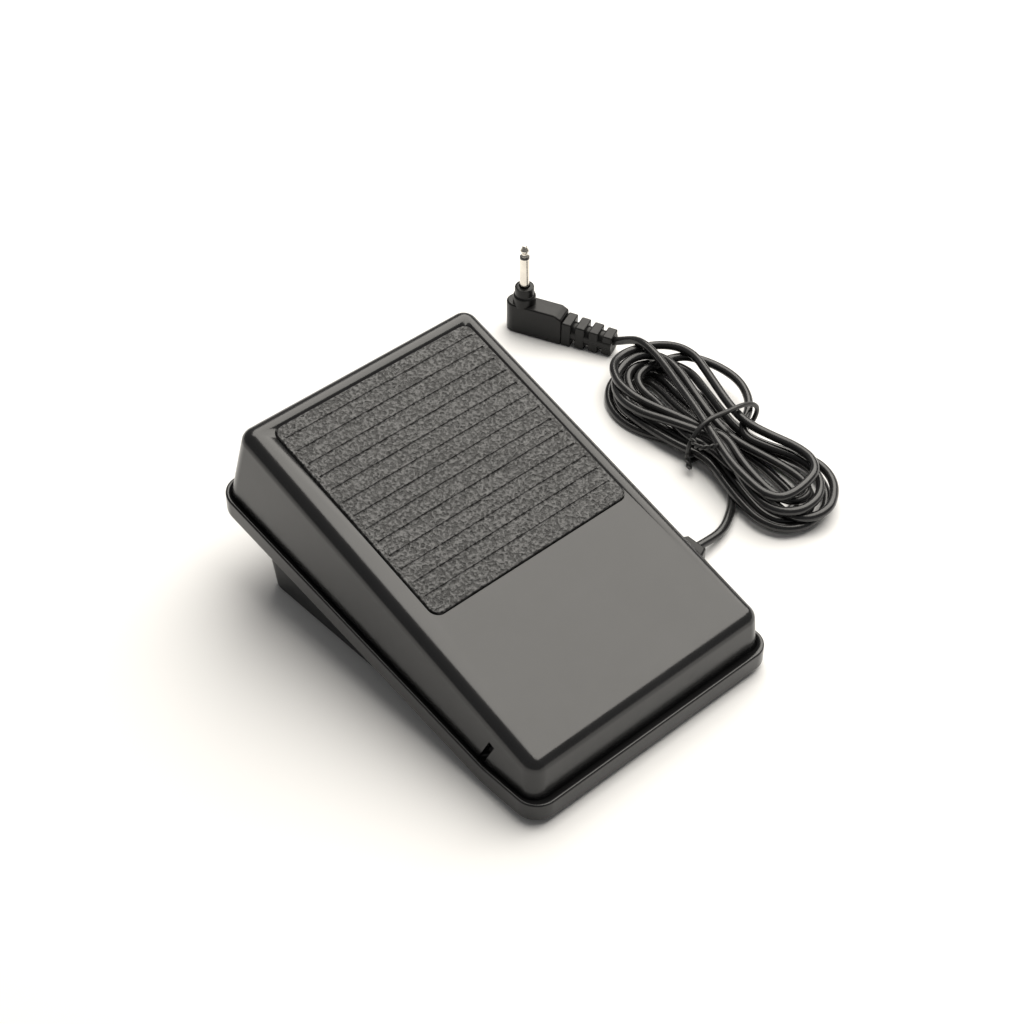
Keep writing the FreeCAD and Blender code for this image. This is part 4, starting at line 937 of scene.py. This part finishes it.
class OBJECT_OT_foot_control_sleeve(bpy.types.Operator):
    """Build the plug's bending sleeve, a row of ribs on a core"""
    bl_idname = "object.foot_control_sleeve"
    bl_label = "Plug sleeve"

    def execute(self, context):
        count = context.scene.foot_control_sizes.sleeve_ribs
        pitch = (SLEEVE_LENGTH - RIB_THICKNESS) / (count - 1)
        shape = bmesh.new()
        bmesh.ops.create_cube(shape, size=1.0)
        bmesh.ops.scale(shape, vec=(RIB_THICKNESS, RIB_WIDTH, RIB_HEIGHT),
                        verts=shape.verts)
        bmesh.ops.translate(shape, vec=(RIB_THICKNESS / 2, 0, 0), verts=shape.verts)
        rib = mesh_object("plug_ribs", shape)
        bevel(rib, RIB_EDGE)
        bake(rib)
        rib_tree().grow(rib, Ribs=count, Pitch=pitch, Core=SLEEVE_CORE_RADIUS,
                        Length=SLEEVE_LENGTH, Shrink=RIB_SHRINK,
                        Material=material(moulded_pvc))
        dip = Matrix.Rotation(SLEEVE_DIP, 4, "Y")
        lift = Matrix.Translation(mm(PLUG_LENGTH, 0, SLEEVE_HEIGHT))
        rib.data.transform(plug_place() @ lift @ dip)
        smooth(rib, 40)
        settle(rib, "base", "cord_rubber", "plug_sleeve")
        return {"FINISHED"}


# ---------------------------------------------------------------- treadle
TREAD_SLOPE = math.radians(17.43)
TREAD_TOE = mm(0, -70.2, 21.4)
PANEL_START = 55.0
PANEL_SIZE = (78.3, 78.7)
PANEL_OFFSET = 1.3
PANEL_CORNER = 3.0
PANEL_UNDER = -1.2
PANEL_OVER = 0.5
PANEL_EDGE = 0.35 * MM
FIRST_GROOVE = 7.0
GROOVE_MARGIN = 1.5


def tread_place():
    """Carries a piece made flat, its toe edge at Y = 0, to the panel's recess on the tread."""
    along = mm(PANEL_OFFSET, PANEL_START, 0)
    slope = Matrix.Rotation(TREAD_SLOPE, 4, "X")
    return Matrix.Translation(TREAD_TOE) @ slope @ Matrix.Translation(along)


def rounded_plan(width, length, radius):
    """Outline of a rounded rectangle from y = 0 to its length."""
    around = 8
    spots = []
    corners = [(width / 2 - radius, radius, -90), (width / 2 - radius, length - radius, 0),
               (radius - width / 2, length - radius, 90), (radius - width / 2, radius, 180)]
    for x, y, start in corners:
        for step in range(around + 1):
            angle = math.radians(start + 90 * step / around)
            spots.append((x + radius * math.cos(angle), y + radius * math.sin(angle)))
    return spots


def slab(name, outline, low, high):
    """A flat closed plate with an outline, in millimetres."""
    shape = bmesh.new()
    under = [shape.verts.new(mm(x, y, low)) for x, y in outline]
    over = [shape.verts.new(mm(x, y, high)) for x, y in outline]
    count = len(outline)
    for i in range(count):
        after = (i + 1) % count
        shape.faces.new([under[i], under[after], over[after], over[i]])
    shape.faces.new(under)
    shape.faces.new(over)
    return mesh_object(name, shape)


def groove_tree():
    """Cuts a row of round-bottomed grooves across a plate."""
    grower = Grower("tread_grooves", {"Count": "Int", "Pitch": "Float", "First": "Float",
                                      "Height": "Float", "Radius": "Float",
                                      "Length": "Float", "Material": "Material"})
    start = grower.node("ShaderNodeCombineXYZ", Y=grower.given("First"),
                        Z=grower.given("Height"))
    step = grower.node("ShaderNodeCombineXYZ", Y=grower.given("Pitch"))
    row = grower.node("GeometryNodeMeshLine", Count=grower.given("Count"),
                      Start_Location=start.outputs[0], Offset=step.outputs[0])
    rod = grower.node("GeometryNodeMeshCylinder", Vertices=14, Radius=grower.given("Radius"),
                      Depth=grower.given("Length"))
    laid = grower.node("GeometryNodeTransform", Geometry=rod.outputs["Mesh"],
                       Rotation=(0, math.pi / 2, 0))
    rods = grower.node("GeometryNodeInstanceOnPoints", Points=row.outputs["Mesh"],
                       Instance=laid.outputs[0])
    solid = grower.node("GeometryNodeRealizeInstances", Geometry=rods.outputs[0])
    carve = grower.tree.nodes.new("GeometryNodeMeshBoolean")
    carve.operation = "DIFFERENCE"
    carve.solver = "EXACT"
    grower.feed(grower.given("Geometry"), carve.inputs["Mesh 1"])
    grower.feed(solid.outputs[0], carve.inputs["Mesh 2"])
    grower.close(carve.outputs["Mesh"])
    return grower


class OBJECT_OT_foot_control_panel(bpy.types.Operator):
    """Build the tread panel with its grooves and pebbled face"""
    bl_idname = "object.foot_control_panel"
    bl_label = "Tread panel"

    def execute(self, context):
        sizes = context.scene.foot_control_sizes
        width, length = PANEL_SIZE
        outline = rounded_plan(width, length, PANEL_CORNER)
        panel = slab("grooved_panel", outline, PANEL_UNDER, PANEL_OVER)
        bevel(panel, PANEL_EDGE, angle=40)
        bake(panel)
        groove_tree().grow(
            panel, Count=sizes.groove_count, Pitch=sizes.groove_pitch,
            First=FIRST_GROOVE * MM, Height=PANEL_OVER * MM, Radius=sizes.groove_radius,
            Length=(width - 2 * GROOVE_MARGIN) * MM, Material=material(panel_plastic))
        panel.data.transform(tread_place())
        smooth(panel, 30)
        settle(panel, "treadle", "panel_plastic", "tread_panel")
        return {"FINISHED"}


class OBJECT_OT_foot_control_cover(bpy.types.Operator):
    """Build the treadle's cover and its rim"""
    bl_idname = "object.foot_control_cover"
    bl_label = "Treadle cover"

    def execute(self, context):
        smooth_copy("treadle_cover", "moulded_cover", "treadle", "cover_plastic",
                    cover_plastic)
        smooth_copy("rim_frame", "moulded_rim", "treadle", "cover_plastic", cover_plastic)
        coat(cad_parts["drive_fork"], zinc_steel)
        return {"FINISHED"}


# ---------------------------------------------------------------- base and what it carries
SPRING_X = 26.0


class OBJECT_OT_foot_control_base(bpy.types.Operator):
    """Build the wedge base, its feet, the hinge pin and the strain relief"""
    bl_idname = "object.foot_control_base"
    bl_label = "Base"

    def execute(self, context):
        smooth_copy("base_tray", "moulded_base", "base", "base_plastic", base_plastic)
        smooth_copy("strain_relief", "moulded_relief", "base", "cord_rubber", moulded_pvc)
        smooth_copy("rubber_feet", "soft_feet", "base", "rubber", soft_rubber)
        coat(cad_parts["hinge_pin"], black_steel)
        coat(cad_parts["stop_pads"], soft_rubber)
        coat(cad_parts["cord_clamp"], base_plastic)
        coat(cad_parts["inner_cord"], cord_sheath)
        coat(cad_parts["core_wires"], component_plastic)
        for side, x in (("right", SPRING_X), ("left", -SPRING_X)):
            spring = smooth_copy("return_spring_" + side, "coil_spring_" + side, "base",
                                 "steel", spring_steel)
            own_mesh(spring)
        return {"FINISHED"}


class OBJECT_OT_foot_control_sensor(bpy.types.Operator):
    """Finish the speed sensor, its bracket and the circuit board"""
    bl_idname = "object.foot_control_sensor"
    bl_label = "Speed sensor"

    def execute(self, context):
        for node in ("sensor_bracket", "sensor_nut"):
            coat(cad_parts[node], zinc_steel)
        for node in ("potentiometer", "sensor_shaft"):
            coat(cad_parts[node], sensor_metal)
        coat(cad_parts["sensor_arm"], arm_plastic)
        coat(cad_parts["control_board"], board_lacquer)
        coat(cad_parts["board_parts"], component_plastic)
        return {"FINISHED"}


def screw_tree():
    """Sets one screw, with a cross cut in its head, on every point of a mesh."""
    grower = Grower("screws", {"Screw": "Object", "Cross": "Float", "Top": "Float",
                               "Turn": "Float", "Material": "Material"})
    screw = grower.node("GeometryNodeObjectInfo", Object=grower.given("Screw"))
    bars = []
    for wide, long in ((1.0, 0.22), (0.22, 1.0)):
        size = grower.tree.nodes.new("ShaderNodeVectorMath")
        size.operation = "SCALE"
        size.inputs[0].default_value = (wide, long, 0.5)
        grower.feed(grower.given("Cross"), size.inputs["Scale"])
        bar = grower.node("GeometryNodeMeshCube", Size=size.outputs[0])
        lift = grower.node("ShaderNodeCombineXYZ", Z=grower.given("Top"))
        bars.append(grower.node("GeometryNodeTransform", Geometry=bar.outputs["Mesh"],
                                Translation=lift.outputs[0]))
    carve = grower.tree.nodes.new("GeometryNodeMeshBoolean")
    carve.operation = "DIFFERENCE"
    carve.solver = "EXACT"
    grower.feed(screw.outputs["Geometry"], carve.inputs["Mesh 1"])
    for bar in bars:
        grower.feed(bar.outputs[0], carve.inputs["Mesh 2"])
    number = grower.node("GeometryNodeInputIndex")
    angle = grower.tree.nodes.new("ShaderNodeMath")
    angle.operation = "MULTIPLY"
    grower.feed(number.outputs[0], angle.inputs[0])
    grower.feed(grower.given("Turn"), angle.inputs[1])
    turn = grower.node("ShaderNodeCombineXYZ", Z=angle.outputs[0])
    placed = grower.node("GeometryNodeInstanceOnPoints", Points=grower.given("Geometry"),
                         Instance=carve.outputs["Mesh"], Rotation=turn.outputs[0])
    grower.close(placed.outputs[0])
    return grower


SCREW_PLACES = {
    "board_screws": [(-18, -30, 8.6), (9, -30, 8.6), (-18, 2, 8.6), (9, 2, 8.6)],
    "bracket_screws": [(-13, 12, 6.2), (3, 12, 6.2)],
    "clamp_screws": [(31, -34.5, 8.4), (31, -17.5, 8.4)],
}


# A pan-head screw, as radius and height from under its head, and the cross cut in the head.
SCREW_PROFILE = [
    (0, -3.4), (0.9, -3.4), (0.9, 0), (2.0, 0), (2.0, 0.7), (1.6, 1.25), (1.0, 1.5), (0, 1.5),
]
CROSS_SIZE = 2.2 * MM
HEAD_TOP = 1.5 * MM
# Each screw is turned this much further than the one before, in radians.
SCREW_TURN = 0.7


class OBJECT_OT_foot_control_screws(bpy.types.Operator):
    """Set the small pan-head screws inside the base"""
    bl_idname = "object.foot_control_screws"
    bl_label = "Screws"

    def execute(self, context):
        pattern = bmesh.new()
        lathe(pattern, SCREW_PROFILE, steps=20)
        screw = mesh_object("screw_pattern", pattern)
        tree = screw_tree()
        shape = bmesh.new()
        for places in SCREW_PLACES.values():
            for place in places:
                shape.verts.new(mm(*place))
        data = bpy.data.meshes.new("pan_screws")
        shape.to_mesh(data)
        shape.free()
        screws = add_object("pan_screws", data)
        tree.grow(screws, Screw=screw, Cross=CROSS_SIZE, Top=HEAD_TOP, Turn=SCREW_TURN,
                  Material=material(zinc_steel))
        bpy.data.objects.remove(screw)
        smooth(screws, 35)
        settle(screws, "base", "steel", *SCREW_PLACES)
        coat(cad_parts["fork_screw"], zinc_steel)
        return {"FINISHED"}


# ---------------------------------------------------------------- panel and registration
class VIEW3D_PT_foot_control(bpy.types.Panel):
    """Lists the pieces of the foot control"""
    bl_label = "Foot control"
    bl_idname = "VIEW3D_PT_foot_control"
    bl_space_type = "VIEW_3D"
    bl_region_type = "UI"
    bl_category = "Foot control"

    def draw(self, context):
        column = self.layout.column()
        for group in (context.scene.foot_control_sizes, context.scene.foot_control_finish):
            for name in group.__annotations__:
                column.prop(group, name)
        for piece in PIECES:
            column.operator(piece.bl_idname)


PIECES = (
    SCENE_OT_foot_control_stage,
    OBJECT_OT_foot_control_tie,
    OBJECT_OT_foot_control_plug,
    OBJECT_OT_foot_control_sleeve,
    OBJECT_OT_foot_control_cord,
    OBJECT_OT_foot_control_cover,
    OBJECT_OT_foot_control_panel,
    OBJECT_OT_foot_control_base,
    OBJECT_OT_foot_control_sensor,
    OBJECT_OT_foot_control_screws,
)
CLASSES = (FootControlSizes, FootControlFinish, *PIECES, VIEW3D_PT_foot_control)


def register():
    for item in CLASSES:
        bpy.utils.register_class(item)
    bpy.types.Scene.foot_control_sizes = bpy.props.PointerProperty(type=FootControlSizes)
    bpy.types.Scene.foot_control_finish = bpy.props.PointerProperty(type=FootControlFinish)


def unregister():
    del bpy.types.Scene.foot_control_finish
    del bpy.types.Scene.foot_control_sizes
    for item in reversed(CLASSES):
        bpy.utils.unregister_class(item)


def main():
    """Build every piece in order."""
    register()
    for piece in PIECES:
        group, name = piece.bl_idname.split(".")
        getattr(getattr(bpy.ops, group), name)()


if __name__ == "__main__":
    main()
